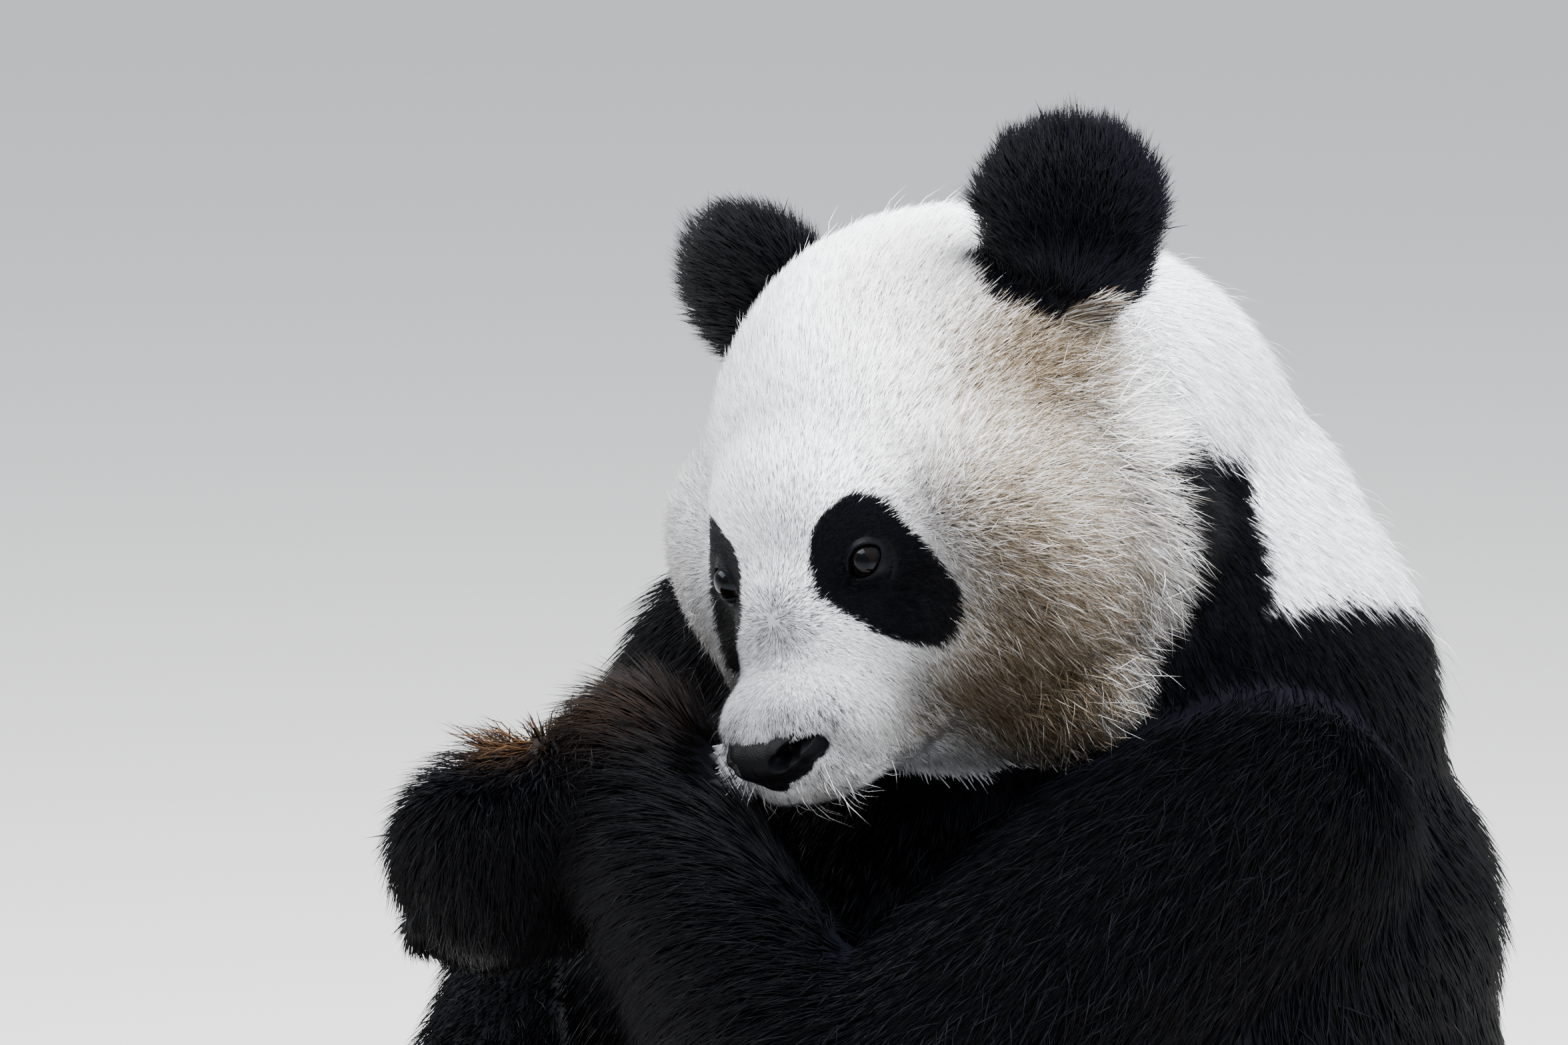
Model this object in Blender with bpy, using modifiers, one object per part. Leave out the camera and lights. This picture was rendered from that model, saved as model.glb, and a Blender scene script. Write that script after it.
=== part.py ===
"""Giant panda, sitting upright with one forearm raised across its chest: the solids of a life-size museum model.

Each part of the body is one named object. Every solid reaches out to the tips of the coat. A part is grown from a
few round masses, fused, smoothed and thinned to a light mesh, then fitted to its neighbours with a thin gap.
Metres, +Z up. The panda faces -Y and its left side is +X. The floor is z = 0.
"""

from math import cos, radians, sin

import bmesh
import bpy
from mathutils import Matrix, Vector

# Fits and mesh fineness
GAP = 0.0007  # clearance between a part and the pocket that holds it
SLIT = 0.0004  # width of the thin cut between two lengths of one limb or of the trunk
BODY_VOXEL = 0.010
HEAD_VOXEL = 0.005
FINE_VOXEL = 0.003
SMOOTHING = 8
TRUNK_SMOOTHING = 24

# The head: where its centre sits and how it is held
HEAD_CENTRE = Vector((0.024, 0.004, 0.762))
HEAD_TURN = radians(5.6)
HEAD_NOD = radians(24.5)
HEAD_TILT = radians(14.9)
EYE_RADIUS = 0.0125
EYE_PLACE = Vector((0.057, 0.1100, 0.003))  # left, forward and up from the head's centre
EAR_RADIUS = 0.0595
EAR_WIDTH = 0.064
EAR_THICKNESS = 0.025
EAR_PLACE = {"left": Vector((0.138, -0.076, 0.111)), "right": Vector((-0.134, -0.078, 0.099))}
EAR_FACING = {"left": (0.55, 0.80, 0.10), "right": (0.12, 0.95, 0.10)}  # left, forward and up on the head

# The trunk, from the nape down to the seat
NECK = Vector((0.010, 0.1385, 0.760))
CHEST = Vector((-0.015, 0.165, 0.600))
WAIST = Vector((-0.010, 0.152, 0.480))
BELLY = Vector((-0.005, 0.130, 0.360))
RUMP = Vector((0.000, 0.190, 0.190))
TAIL_ROOT = Vector((0.000, 0.410, 0.115))
TAIL_TIP = Vector((0.000, 0.478, 0.040))

# The limbs: the places of their joints
SHOULDER = {"left": Vector((0.190, 0.110, 0.562)), "right": Vector((-0.163, 0.088, 0.600))}
ELBOW = {"left": Vector((0.146, -0.186, 0.408)), "right": Vector((-0.298, 0.030, 0.400))}
WRIST = {"left": Vector((-0.062, -0.138, 0.594)), "right": Vector((-0.150, -0.200, 0.346))}
HAND = {"left": Vector((-0.111, -0.212, 0.548)), "right": Vector((-0.080, -0.222, 0.296))}
WRIST_HUMP = (Vector((-0.124, -0.191, 0.595)), Vector((-0.100, -0.180, 0.604)))  # the left wrist, bent sharply
HUMP_RADIUS = 0.030
HIP = Vector((0.160, 0.090, 0.142))  # the left side; the right one mirrors it
KNEE = Vector((0.278, -0.190, 0.138))
ANKLE = Vector((0.262, -0.400, 0.086))

TOES = 5
CLAW_LENGTH = 0.034
CLAW_RADIUS = 0.0052

COAT_BLACK = (0.012, 0.011, 0.012)
COAT_WHITE = (0.78, 0.75, 0.68)
NOSE_BLACK = (0.010, 0.010, 0.011)
EYE_BROWN = (0.030, 0.014, 0.008)
CLAW_HORN = (0.16, 0.13, 0.10)


def material(name, colour, roughness):
    made = bpy.data.materials.new(name)
    made.use_nodes = True
    shader = made.node_tree.nodes["Principled BSDF"]
    shader.inputs["Base Color"].default_value = (*colour, 1.0)
    shader.inputs["Roughness"].default_value = roughness
    shader.inputs["Metallic"].default_value = 0.0
    return made


def new_object(name, mesh, collection):
    made = bpy.data.objects.new(name, mesh)
    collection.objects.link(made)
    return made


def evaluated(obj):
    """The object's mesh with its modifiers applied."""
    graph = bpy.context.evaluated_depsgraph_get()
    return bpy.data.meshes.new_from_object(obj.evaluated_get(graph), depsgraph=graph)


def applied(obj):
    """Apply the object's modifiers to its own mesh."""
    mesh = evaluated(obj)
    obj.modifiers.clear()
    old = obj.data
    obj.data = mesh
    bpy.data.meshes.remove(old)
    return obj


def ball(bm, centre, radii, axes=None):
    """An ellipsoid: its three radii lie along the three axes, or along X, Y and Z."""
    turn = Matrix(axes).transposed().to_4x4() if axes else Matrix.Identity(4)
    place = Matrix.Translation(centre) @ turn @ Matrix.Diagonal((*radii, 1.0))
    bmesh.ops.create_icosphere(bm, subdivisions=4, radius=1.0, matrix=place)


def link(bm, start, start_radius, end, end_radius):
    """Two balls and the skin stretched tight round them."""
    own = bmesh.new()
    for centre, radius in ((start, start_radius), (end, end_radius)):
        bmesh.ops.create_icosphere(own, subdivisions=3, radius=radius, matrix=Matrix.Translation(centre))
    hull = bmesh.ops.convex_hull(own, input=own.verts[:])
    inner = [item for item in hull["geom_interior"] if isinstance(item, bmesh.types.BMVert)]
    bmesh.ops.delete(own, geom=inner, context="VERTS")
    mesh = bpy.data.meshes.new("link")
    own.to_mesh(mesh)
    own.free()
    bm.from_mesh(mesh)
    bpy.data.meshes.remove(mesh)


def fused(name, masses, collection, voxel, triangles, smoothing=SMOOTHING):
    """Fuse the masses into one smooth closed body of about so many triangles."""
    bm = bmesh.new()
    for add, *measures in masses:
        add(bm, *measures)
    mesh = bpy.data.meshes.new(name)
    bm.to_mesh(mesh)
    bm.free()
    made = new_object(name, mesh, collection)
    remesh = made.modifiers.new("Fuse", "REMESH")
    remesh.mode = "VOXEL"
    remesh.voxel_size = voxel
    smooth = made.modifiers.new("Smooth", "SMOOTH")
    smooth.factor = 0.5
    smooth.iterations = smoothing
    applied(made)
    thin = made.modifiers.new("Thin", "DECIMATE")
    thin.ratio = triangles / (2 * len(made.data.polygons))
    return applied(made)


def grown(obj, distance, cutters):
    """A copy of the object, larger all round by the distance, to cut its pocket with."""
    made = new_object(obj.name + "_pocket", obj.data.copy(), cutters)
    bm = bmesh.new()
    bm.from_mesh(made.data)
    bm.normal_update()
    for vert in bm.verts:
        vert.co += vert.normal * distance * vert.calc_shell_factor()
    bm.to_mesh(made.data)
    bm.free()
    made.hide_render = True
    made.display_type = "WIRE"
    return made


def block(name, low, high, cutters):
    """A box between two corners."""
    bm = bmesh.new()
    size = [b - a for a, b in zip(low, high)]
    middle = [(a + b) / 2 for a, b in zip(low, high)]
    bmesh.ops.create_cube(bm, size=1.0, matrix=Matrix.Translation(middle) @ Matrix.Diagonal((*size, 1.0)))
    mesh = bpy.data.meshes.new(name)
    bm.to_mesh(mesh)
    bm.free()
    made = new_object(name, mesh, cutters)
    made.hide_render = True
    made.display_type = "WIRE"
    return made


def cut_away(obj, cutter):
    """Take the cutter's space away from the object."""
    cut = obj.modifiers.new("Cut", "BOOLEAN")
    cut.operation = "DIFFERENCE"
    cut.solver = "EXACT"
    cut.object = cutter
    return applied(obj)


def half_space(name, point, normal, cutters):
    """A large block whose one face passes through the point and whose body lies along the normal."""
    reach = 2.0
    made = block(name, (-reach, -reach, 0.0), (reach, reach, reach), cutters)
    turn = Vector(normal).to_track_quat("Z", "Y").to_matrix().to_4x4()
    made.data.transform(Matrix.Translation(point) @ turn)
    return made


def parted(whole, names, cuts, collection, cutters):
    """Part a body with thin straight cuts. Each cut is a point and a direction along the body, in order."""
    rest = whole
    for name, (point, direction) in zip(names, cuts):
        along = Vector(direction).normalized()
        point = Vector(point)
        before = half_space(name + "_far_side", point - along * SLIT / 2, along, cutters)
        after = half_space(name + "_near_side", point + along * SLIT / 2, -along, cutters)
        piece = new_object(name, rest.data.copy(), collection)
        cut_away(piece, before)
        cut_away(rest, after)
    rest.name = names[-1]


def head_axes():
    """The head's own left, forward and up directions."""
    forward = Vector((sin(HEAD_TURN) * cos(HEAD_NOD), -cos(HEAD_TURN) * cos(HEAD_NOD), -sin(HEAD_NOD)))
    level = Vector((cos(HEAD_TURN), sin(HEAD_TURN), 0.0))
    above = forward.cross(level)
    left = level * cos(HEAD_TILT) + above * sin(HEAD_TILT)
    up = above * cos(HEAD_TILT) - level * sin(HEAD_TILT)
    return left, forward, up


def on_head(left, forward, up):
    """A place on the head, measured from its centre along its own axes."""
    axes = head_axes()
    return HEAD_CENTRE + axes[0] * left + axes[1] * forward + axes[2] * up


def head_ball(bm, place, radii):
    ball(bm, on_head(*place), radii, head_axes())


def head_masses():
    """Skull, brow, cheeks, jowls and muzzle. Paired ones lie at plus and minus their first measure."""
    yield head_ball, (0.0, -0.031, 0.006), (0.144, 0.141, 0.135)
    yield head_ball, (0.0, 0.050, 0.008), (0.100, 0.082, 0.086)
    yield head_ball, (0.0, 0.086, -0.046), (0.082, 0.078, 0.066)
    yield head_ball, (0.0, 0.110, -0.012), (0.047, 0.044, 0.044)
    yield head_ball, (0.0, 0.158, -0.0715), (0.064, 0.0555, 0.0455)
    yield head_ball, (0.0, 0.119, -0.090), (0.062, 0.060, 0.034)
    yield head_ball, (0.0, 0.036, -0.100), (0.098, 0.082, 0.080)
    for side in (1, -1):
        yield head_ball, (side * 0.052, 0.066, -0.006), (0.050, 0.054, 0.052)
        yield head_ball, (side * 0.100, 0.035, -0.031), (0.067, 0.070, 0.093)
        yield head_ball, (side * 0.086, -0.016, -0.056), (0.082, 0.086, 0.090)
        yield head_ball, (side * 0.072, 0.066, -0.065), (0.062, 0.060, 0.058)
        yield head_ball, (side * 0.066, 0.032, -0.104), (0.068, 0.070, 0.078)


def ear_axes(side_name, side):
    """The way the ear's cup faces, and its upright, which leans out from the crown."""
    left, forward, up = head_axes()
    outward, ahead, above = EAR_FACING[side_name]
    facing = (left * outward + forward * ahead + up * above).normalized()
    upright = (up * 0.86 + left * side * 0.46).normalized()
    across = upright.cross(facing).normalized()
    upright = facing.cross(across)
    return across, facing, upright


def make_ear(side_name, side, parts):
    across, facing, upright = ear_axes(side_name, side)
    middle = on_head(*EAR_PLACE[side_name])
    radii = (EAR_WIDTH, EAR_THICKNESS, EAR_RADIUS)
    root = middle - upright * EAR_RADIUS * 0.62
    root_radii = (EAR_WIDTH * 0.78, EAR_THICKNESS * 1.15, EAR_RADIUS * 0.55)
    masses = [
        (ball, middle, radii, (across, facing, upright)),
        (ball, root, root_radii, (across, facing, upright)),
    ]
    return fused("ear_" + side_name, masses, parts, FINE_VOXEL, 150)


def make_nose(parts):
    """The bare nose pad: broad above, drawn in to a point at the lip."""
    masses = [
        (head_ball, (0.0, 0.196, -0.0665), (0.029, 0.019, 0.0155)),
        (head_ball, (0.0, 0.196, -0.0770), (0.014, 0.0135, 0.0125)),
    ]
    for side in (1, -1):
        masses.append((head_ball, (side * 0.024, 0.1875, -0.064), (0.015, 0.018, 0.0112)))
        masses.append((head_ball, (side * 0.0165, 0.191, -0.073), (0.0135, 0.0135, 0.010)))
    return fused("nose", masses, parts, FINE_VOXEL / 2, 110)


def make_eye(side_name, side, parts):
    bm = bmesh.new()
    place = Matrix.Translation(on_head(side * EYE_PLACE.x, EYE_PLACE.y, EYE_PLACE.z))
    bmesh.ops.create_icosphere(bm, subdivisions=3, radius=EYE_RADIUS, matrix=place)
    mesh = bpy.data.meshes.new("eye_" + side_name)
    bm.to_mesh(mesh)
    bm.free()
    made = new_object("eye_" + side_name, mesh, parts)
    thin = made.modifiers.new("Thin", "DECIMATE")
    thin.ratio = 0.2
    return applied(made)


def make_claw(name, root, along, bend, parts):
    """A short curved horn that tapers to a blunt point."""
    curve = bpy.data.curves.new(name, "CURVE")
    curve.dimensions = "3D"
    curve.bevel_depth = CLAW_RADIUS
    curve.bevel_resolution = 1
    curve.use_fill_caps = True
    spline = curve.splines.new("POLY")
    stations = (0.0, 0.55, 1.0)
    spline.points.add(len(stations) - 1)
    for point, t in zip(spline.points, stations):
        place = root + along * CLAW_LENGTH * t + bend * CLAW_LENGTH * 0.32 * t * t
        point.co = (*place, 1.0)
        point.radius = (1.0 - t) ** 0.7 + 0.12
    guide = new_object(name + "_guide", curve, parts)
    mesh = evaluated(guide)
    bpy.data.objects.remove(guide)
    bpy.data.curves.remove(curve)
    bm = bmesh.new()
    bm.from_mesh(mesh)
    bmesh.ops.remove_doubles(bm, verts=bm.verts[:], dist=0.00001)
    bmesh.ops.recalc_face_normals(bm, faces=bm.faces[:])
    bm.to_mesh(mesh)
    bm.free()
    return new_object(name, mesh, parts)


class Paw:
    """Where a hand or foot lies: its middle, the way its toes point, and the way its sole faces.

    The curl is how far the toe ends lie below the sole, in lengths, and the hook is the angle that the claws make
    with the toes.
    """

    def __init__(self, middle, toward_toes, sole, length, width, curl, hook):
        self.middle = middle
        self.toes = toward_toes.normalized()
        self.across = self.toes.cross(sole).normalized()
        self.sole = self.across.cross(self.toes).normalized()
        self.length = length
        self.width = width
        self.curl = curl
        self.hook = hook

    def toe(self, index):
        """The middle of one toe's end. The middle toes reach furthest."""
        spread = index / (TOES - 1) * 2 - 1
        reach = self.length * (0.36 - 0.07 * spread * spread)
        across = self.across * spread * self.width * 0.36
        return self.middle + across + self.toes * reach + self.sole * self.length * self.curl

    def masses(self):
        half = (self.width / 2, self.length * 0.36, self.length * 0.25)
        yield ball, self.middle, half, (self.across, self.toes, self.sole)
        for index in range(TOES):
            yield ball, self.toe(index), (self.width * 0.145,) * 3

    def claws(self, name, parts):
        """One claw on each toe, rooted in the toe and bent towards the sole."""
        along = self.toes * cos(self.hook) + self.sole * sin(self.hook)
        bend = self.sole * cos(self.hook) - self.toes * sin(self.hook)
        made = []
        for index in range(TOES):
            root = self.toe(index) + along * self.width * 0.085
            made.append(make_claw(f"{name}_{index + 1}", root, along, bend, parts))
        return made


def side_of(side, point):
    """The left side's point, or its mirror image."""
    return Vector((side * point.x, point.y, point.z))


def hand_paw(side_name):
    if side_name == "left":
        hanging = Vector((0.02, 0.06, -1.0))
        palm = Vector((-0.66, 0.72, 0.0))
        return Paw(HAND["left"], hanging, palm, 0.176, 0.122, 0.16, radians(105))
    across_belly = Vector((0.90, -0.10, -0.38))
    palm = Vector((0.10, 1.0, -0.10))
    return Paw(HAND["right"], across_belly, palm, 0.170, 0.116, 0.06, radians(35))


def foot_paw(side):
    middle = side_of(side, ANKLE + Vector((0.014, -0.066, 0.026)))
    toes = Vector((side * 0.26, -0.30, 1.0))
    sole = Vector((side * 0.10, -1.0, -0.20))
    return Paw(middle, toes, sole, 0.205, 0.136, 0.04, radians(25))


def make_arm(side_name, head_pocket, parts, cutters):
    """Upper arm, forearm and hand, parted at the elbow and the wrist, with the claws let into the hand."""
    shoulder, elbow, wrist = SHOULDER[side_name], ELBOW[side_name], WRIST[side_name]
    paw = hand_paw(side_name)
    masses = [
        (link, shoulder, 0.104, elbow, 0.078),
        (link, elbow, 0.078, elbow.lerp(wrist, 0.55), 0.066),
        (link, elbow.lerp(wrist, 0.55), 0.066, wrist, 0.055),
        (link, wrist, 0.055, paw.middle, 0.048),
        *paw.masses(),
    ]
    if side_name == "left":
        masses += [(ball, place, (HUMP_RADIUS,) * 3) for place in WRIST_HUMP]
    arm = fused("hand_" + side_name, masses, parts, BODY_VOXEL * 0.6, 440)
    pocket = grown(arm, GAP, cutters)
    cut_away(arm, head_pocket)
    for claw in paw.claws("claw_hand_" + side_name, parts):
        cut_away(arm, grown(claw, GAP, cutters))
    upper = elbow - shoulder
    fore = wrist - elbow
    names = ("upper_arm_" + side_name, "forearm_" + side_name, "hand_" + side_name)
    bend = (upper.normalized() + fore.normalized()).normalized()
    turn = (fore.normalized() + (paw.middle - wrist).normalized()).normalized()
    arm.name = names[-1] + "_whole"
    parted(arm, names, ((elbow, bend), (wrist, turn)), parts, cutters)
    return pocket


def make_leg(side_name, side, parts, cutters):
    """Thigh, shin and foot, parted at the knee and the ankle, with the claws let into the foot."""
    hip, knee, ankle = (side_of(side, point) for point in (HIP, KNEE, ANKLE))
    calf = knee.lerp(ankle, 0.45)
    heel = ankle + Vector((0.0, -0.034, -0.042))
    paw = foot_paw(side)
    masses = [
        (link, hip, 0.150, knee, 0.118),
        (link, knee, 0.118, calf, 0.104),
        (link, calf, 0.104, ankle, 0.078),
        (link, ankle, 0.074, paw.middle, 0.058),
        (link, heel, 0.058, paw.middle, 0.056),
        *paw.masses(),
    ]
    leg = fused("foot_" + side_name, masses, parts, BODY_VOXEL, 380)
    pocket = grown(leg, GAP, cutters)
    for claw in paw.claws("claw_foot_" + side_name, parts):
        cut_away(leg, grown(claw, GAP, cutters))
    names = ("thigh_" + side_name, "shin_" + side_name, "foot_" + side_name)
    bend = ((knee - hip).normalized() + (ankle - knee).normalized()).normalized()
    turn = (ankle - knee).normalized()
    leg.name = names[-1] + "_whole"
    parted(leg, names, ((knee, bend), (ankle, turn)), parts, cutters)
    return pocket


def make_head(parts, cutters):
    """The head with pockets for its ears, eyes and nose pad."""
    head = fused("head", head_masses(), parts, HEAD_VOXEL, 1040, 12)
    pockets = [grown(head, GAP, cutters)]
    for side_name, side in (("left", 1), ("right", -1)):
        ear = make_ear(side_name, side, parts)
        eye = make_eye(side_name, side, parts)
        pockets.append(grown(ear, GAP, cutters))
        cut_away(head, pockets[-1])
        cut_away(head, grown(eye, GAP, cutters))
    cut_away(head, grown(make_nose(parts), GAP, cutters))
    return pockets


def make_trunk(pockets, parts, cutters):
    """Neck, chest, belly and tail, with pockets for the head and the limbs."""
    masses = [
        (ball, NECK, (0.152, 0.1385, 0.131)),
        (ball, CHEST + Vector((0.0, 0.015, 0.086)), (0.205, 0.154, 0.147)),
        (ball, CHEST, (0.269, 0.188, 0.211)),
        (ball, WAIST, (0.302, 0.242, 0.205)),
        (ball, BELLY, (0.312, 0.276, 0.285)),
        (ball, RUMP, (0.290, 0.258, 0.230)),
    ]
    trunk = fused("belly", masses, parts, BODY_VOXEL, 600, TRUNK_SMOOTHING)
    tail = fused("tail", [(link, TAIL_ROOT, 0.060, TAIL_TIP, 0.044)], parts, BODY_VOXEL, 90)
    pockets = [*pockets, grown(tail, GAP, cutters)]
    for pocket in pockets:
        cut_away(trunk, pocket)
    trunk.name = "trunk_whole"
    cuts = (
        (Vector((0.0, 0.16, 0.735)), Vector((0.0, 0.34, -1.0))),
        (Vector((0.0, 0.15, 0.370)), Vector((0.0, 0.0, -1.0))),
    )
    parted(trunk, ("neck", "chest", "belly"), cuts, parts, cutters)


def set_on_floor(parts, cutters):
    """Trim everything below the floor, so that each part in contact has a small flat."""
    floor = block("floor", (-2.0, -2.0, -1.0), (2.0, 2.0, 0.0), cutters)
    for obj in parts.objects:
        if min(vert.co.z for vert in obj.data.vertices) < 0.0:
            cut_away(obj, floor)


def centre_on_floor(parts):
    """Move the whole so that the middle of its outline in plan is the origin."""
    points = [vert.co for obj in parts.objects for vert in obj.data.vertices]
    low = [min(point[axis] for point in points) for axis in (0, 1)]
    high = [max(point[axis] for point in points) for axis in (0, 1)]
    shift = Matrix.Translation((-(low[0] + high[0]) / 2, -(low[1] + high[1]) / 2, 0.0))
    for obj in parts.objects:
        obj.data.transform(shift)


def finish(parts):
    """Give each part its colour and round shading."""
    black = material("coat_black", COAT_BLACK, 0.75)
    white = material("coat_white", COAT_WHITE, 0.80)
    looks = {
        "nose": material("nose_pad", NOSE_BLACK, 0.45),
        "eye": material("eye", EYE_BROWN, 0.10),
        "claw": material("claw", CLAW_HORN, 0.35),
        "head": white,
        "neck": white,
        "belly": white,
        "tail": white,
    }
    for obj in parts.objects:
        obj.data.materials.clear()
        obj.data.materials.append(looks.get(obj.name.split("_")[0], black))
        obj.data.shade_smooth()


def main():
    for obj in list(bpy.data.objects):
        bpy.data.objects.remove(obj)
    parts = bpy.data.collections.new("giant_panda")
    cutters = bpy.data.collections.new("cutters")
    bpy.context.scene.collection.children.link(parts)
    bpy.context.scene.collection.children.link(cutters)
    pockets = make_head(parts, cutters)
    for side_name, side in (("left", 1), ("right", -1)):
        pockets.append(make_arm(side_name, pockets[0], parts, cutters))
        pockets.append(make_leg(side_name, side, parts, cutters))
    make_trunk(pockets, parts, cutters)
    set_on_floor(parts, cutters)
    centre_on_floor(parts)
    finish(parts)


main()
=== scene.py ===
"""Giant panda: the finish of a life-size museum model.

One skin lies inside the solids by the depth of the coat. Eyes, nose pad, claws and sole pads are pieces of their own.
The coat is laid over the skin in thin solid tufts that follow its lie. Metres, +Z up; the panda faces -Y.
"""

from math import cos, radians, sin

import bmesh
import bpy
import numpy as np
from mathutils import Matrix, Vector
from mathutils.kdtree import KDTree


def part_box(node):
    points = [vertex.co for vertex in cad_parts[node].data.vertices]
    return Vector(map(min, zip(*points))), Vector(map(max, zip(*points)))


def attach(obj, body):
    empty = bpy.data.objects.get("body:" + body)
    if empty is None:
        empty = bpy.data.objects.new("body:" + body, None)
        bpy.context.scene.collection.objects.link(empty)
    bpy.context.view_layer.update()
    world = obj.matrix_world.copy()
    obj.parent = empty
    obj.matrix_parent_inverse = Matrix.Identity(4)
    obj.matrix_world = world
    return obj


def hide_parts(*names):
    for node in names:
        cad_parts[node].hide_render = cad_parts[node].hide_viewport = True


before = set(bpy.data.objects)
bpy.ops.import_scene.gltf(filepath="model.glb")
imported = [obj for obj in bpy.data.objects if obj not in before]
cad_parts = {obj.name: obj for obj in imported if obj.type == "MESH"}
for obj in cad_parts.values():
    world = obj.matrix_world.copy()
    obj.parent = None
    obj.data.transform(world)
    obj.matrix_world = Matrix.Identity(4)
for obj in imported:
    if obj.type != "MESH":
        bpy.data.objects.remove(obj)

bl_info = {
    "name": "Giant Panda Finish",
    "version": (1, 0, 0),
    "blender": (4, 5, 0),
    "location": "3D View > Sidebar > Panda",
    "description": "Skin, coat, eyes, nose, claws and pads for a life-size giant panda",
    "category": "Object",
}

# ---------------------------------------------------------------- the body's masses


def row(*numbers):
    return np.array(numbers, dtype=float)


def unit(vectors):
    return vectors / np.maximum(np.linalg.norm(vectors, axis=-1, keepdims=True), 1e-12)


def ramp(low, high, value):
    """0 below the low value, 1 above the high one, and smooth between them."""
    t = np.clip((value - low) / (high - low), 0.0, 1.0)
    return t * t * (3.0 - 2.0 * t)


HEAD_CENTRE = row(0.024, 0.004, 0.762)
HEAD_TURN = radians(5.6)
HEAD_NOD = radians(24.5)
HEAD_TILT = radians(14.9)
EYE_RADIUS = 0.0125
EYE_PLACE = row(0.057, 0.1100, 0.003)
EAR_RADIUS = 0.0595
EAR_WIDTH = 0.064
EAR_THICKNESS = 0.025
EAR_PLACE = {"left": row(0.138, -0.076, 0.111), "right": row(-0.134, -0.078, 0.099)}
EAR_FACING = {"left": row(0.55, 0.80, 0.10), "right": row(0.12, 0.95, 0.10)}

NECK = row(0.010, 0.1385, 0.760)
CHEST = row(-0.015, 0.165, 0.600)
WAIST = row(-0.010, 0.152, 0.480)
BELLY = row(-0.005, 0.130, 0.360)
RUMP = row(0.000, 0.190, 0.190)
TAIL_ROOT = row(0.000, 0.410, 0.115)
TAIL_TIP = row(0.000, 0.478, 0.040)

SHOULDER = {"left": row(0.190, 0.110, 0.562), "right": row(-0.163, 0.088, 0.600)}
ELBOW = {"left": row(0.146, -0.186, 0.408), "right": row(-0.298, 0.030, 0.400)}
WRIST = {"left": row(-0.062, -0.138, 0.594), "right": row(-0.150, -0.200, 0.346)}
HAND = {"left": row(-0.111, -0.212, 0.548), "right": row(-0.080, -0.222, 0.296)}
WRIST_HUMP = (row(-0.124, -0.191, 0.595), row(-0.100, -0.180, 0.604))  # the left wrist, bent sharply
HUMP_RADIUS = 0.030
HIP = row(0.160, 0.090, 0.142)
KNEE = row(0.278, -0.190, 0.138)
ANKLE = row(0.262, -0.400, 0.086)

TOES = 5
CLAW_LENGTH = 0.034
CLAW_RADIUS = 0.0052

SIDES = (("left", 1), ("right", -1))
DOWN = row(0.0, 0.0, -1.0)


def side_of(side, point):
    """The point, or its mirror image on the right side."""
    return point * (side, 1, 1)


def head_axes():
    """The head's own left, forward and up directions."""
    turn, nod, tilt = HEAD_TURN, HEAD_NOD, HEAD_TILT
    forward = row(sin(turn) * cos(nod), -cos(turn) * cos(nod), -sin(nod))
    level = row(cos(turn), sin(turn), 0.0)
    above = np.cross(forward, level)
    return np.array([level * cos(tilt) + above * sin(tilt), forward, above * cos(tilt) - level * sin(tilt)])


HEAD_AXES = head_axes()


def on_head(places):
    """Places on the head, given as left, forward and up from its centre."""
    return HEAD_CENTRE + np.asarray(places) @ HEAD_AXES


def from_head(points):
    """Left, forward and up of each point, from the head's centre."""
    return (points - HEAD_CENTRE) @ HEAD_AXES.T


def mirrored_head(points):
    """Left, forward and up of each point from the head's centre, with the right side mirrored onto the left."""
    local = from_head(points)
    local[:, 0] = abs(local[:, 0])
    return local


def head_way(left, forward, up):
    """A direction, given as left, forward and up on the head."""
    return unit(row(left, forward, up) @ HEAD_AXES)


EYE_CENTRE = {name: on_head(side_of(side, EYE_PLACE)) for name, side in SIDES}
_low, _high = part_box("eye_left")
SHIFT = (np.array(_low) + np.array(_high)) / 2 - EYE_CENTRE["left"]
SHIFT[2] = 0.0


def ball(centre, radii, axes=np.eye(3)):
    return ("ball", centre, row(*radii), axes)


def link(start, start_radius, end, end_radius):
    return ("link", start, start_radius, end, end_radius)


def balls_on_head(middle, paired):
    """Balls on the head, each given by its place and radii: those of the middle, and those of both sides."""
    made = [ball(on_head(place), radii, HEAD_AXES) for place, radii in middle]
    for _, side in SIDES:
        made += [ball(on_head(side_of(side, row(*place))), radii, HEAD_AXES) for place, radii in paired]
    return made


def head_masses():
    """Skull, brow, cheeks, jowls and muzzle."""
    middle = (
        ((0.0, -0.031, 0.006), (0.144, 0.141, 0.135)),
        ((0.0, 0.050, 0.008), (0.100, 0.082, 0.086)),
        ((0.0, 0.086, -0.046), (0.082, 0.078, 0.066)),
        ((0.0, 0.110, -0.012), (0.047, 0.044, 0.044)),
        ((0.0, 0.158, -0.0715), (0.064, 0.0555, 0.0455)),
        ((0.0, 0.119, -0.090), (0.062, 0.060, 0.034)),
        ((0.0, 0.036, -0.100), (0.098, 0.082, 0.080)),
    )
    paired = (
        ((0.052, 0.066, -0.006), (0.050, 0.054, 0.052)),
        ((0.100, 0.035, -0.031), (0.067, 0.070, 0.093)),
        ((0.086, -0.016, -0.056), (0.082, 0.086, 0.090)),
        ((0.072, 0.066, -0.065), (0.062, 0.060, 0.058)),
        ((0.066, 0.032, -0.104), (0.068, 0.070, 0.078)),
    )
    return balls_on_head(middle, paired)


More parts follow.
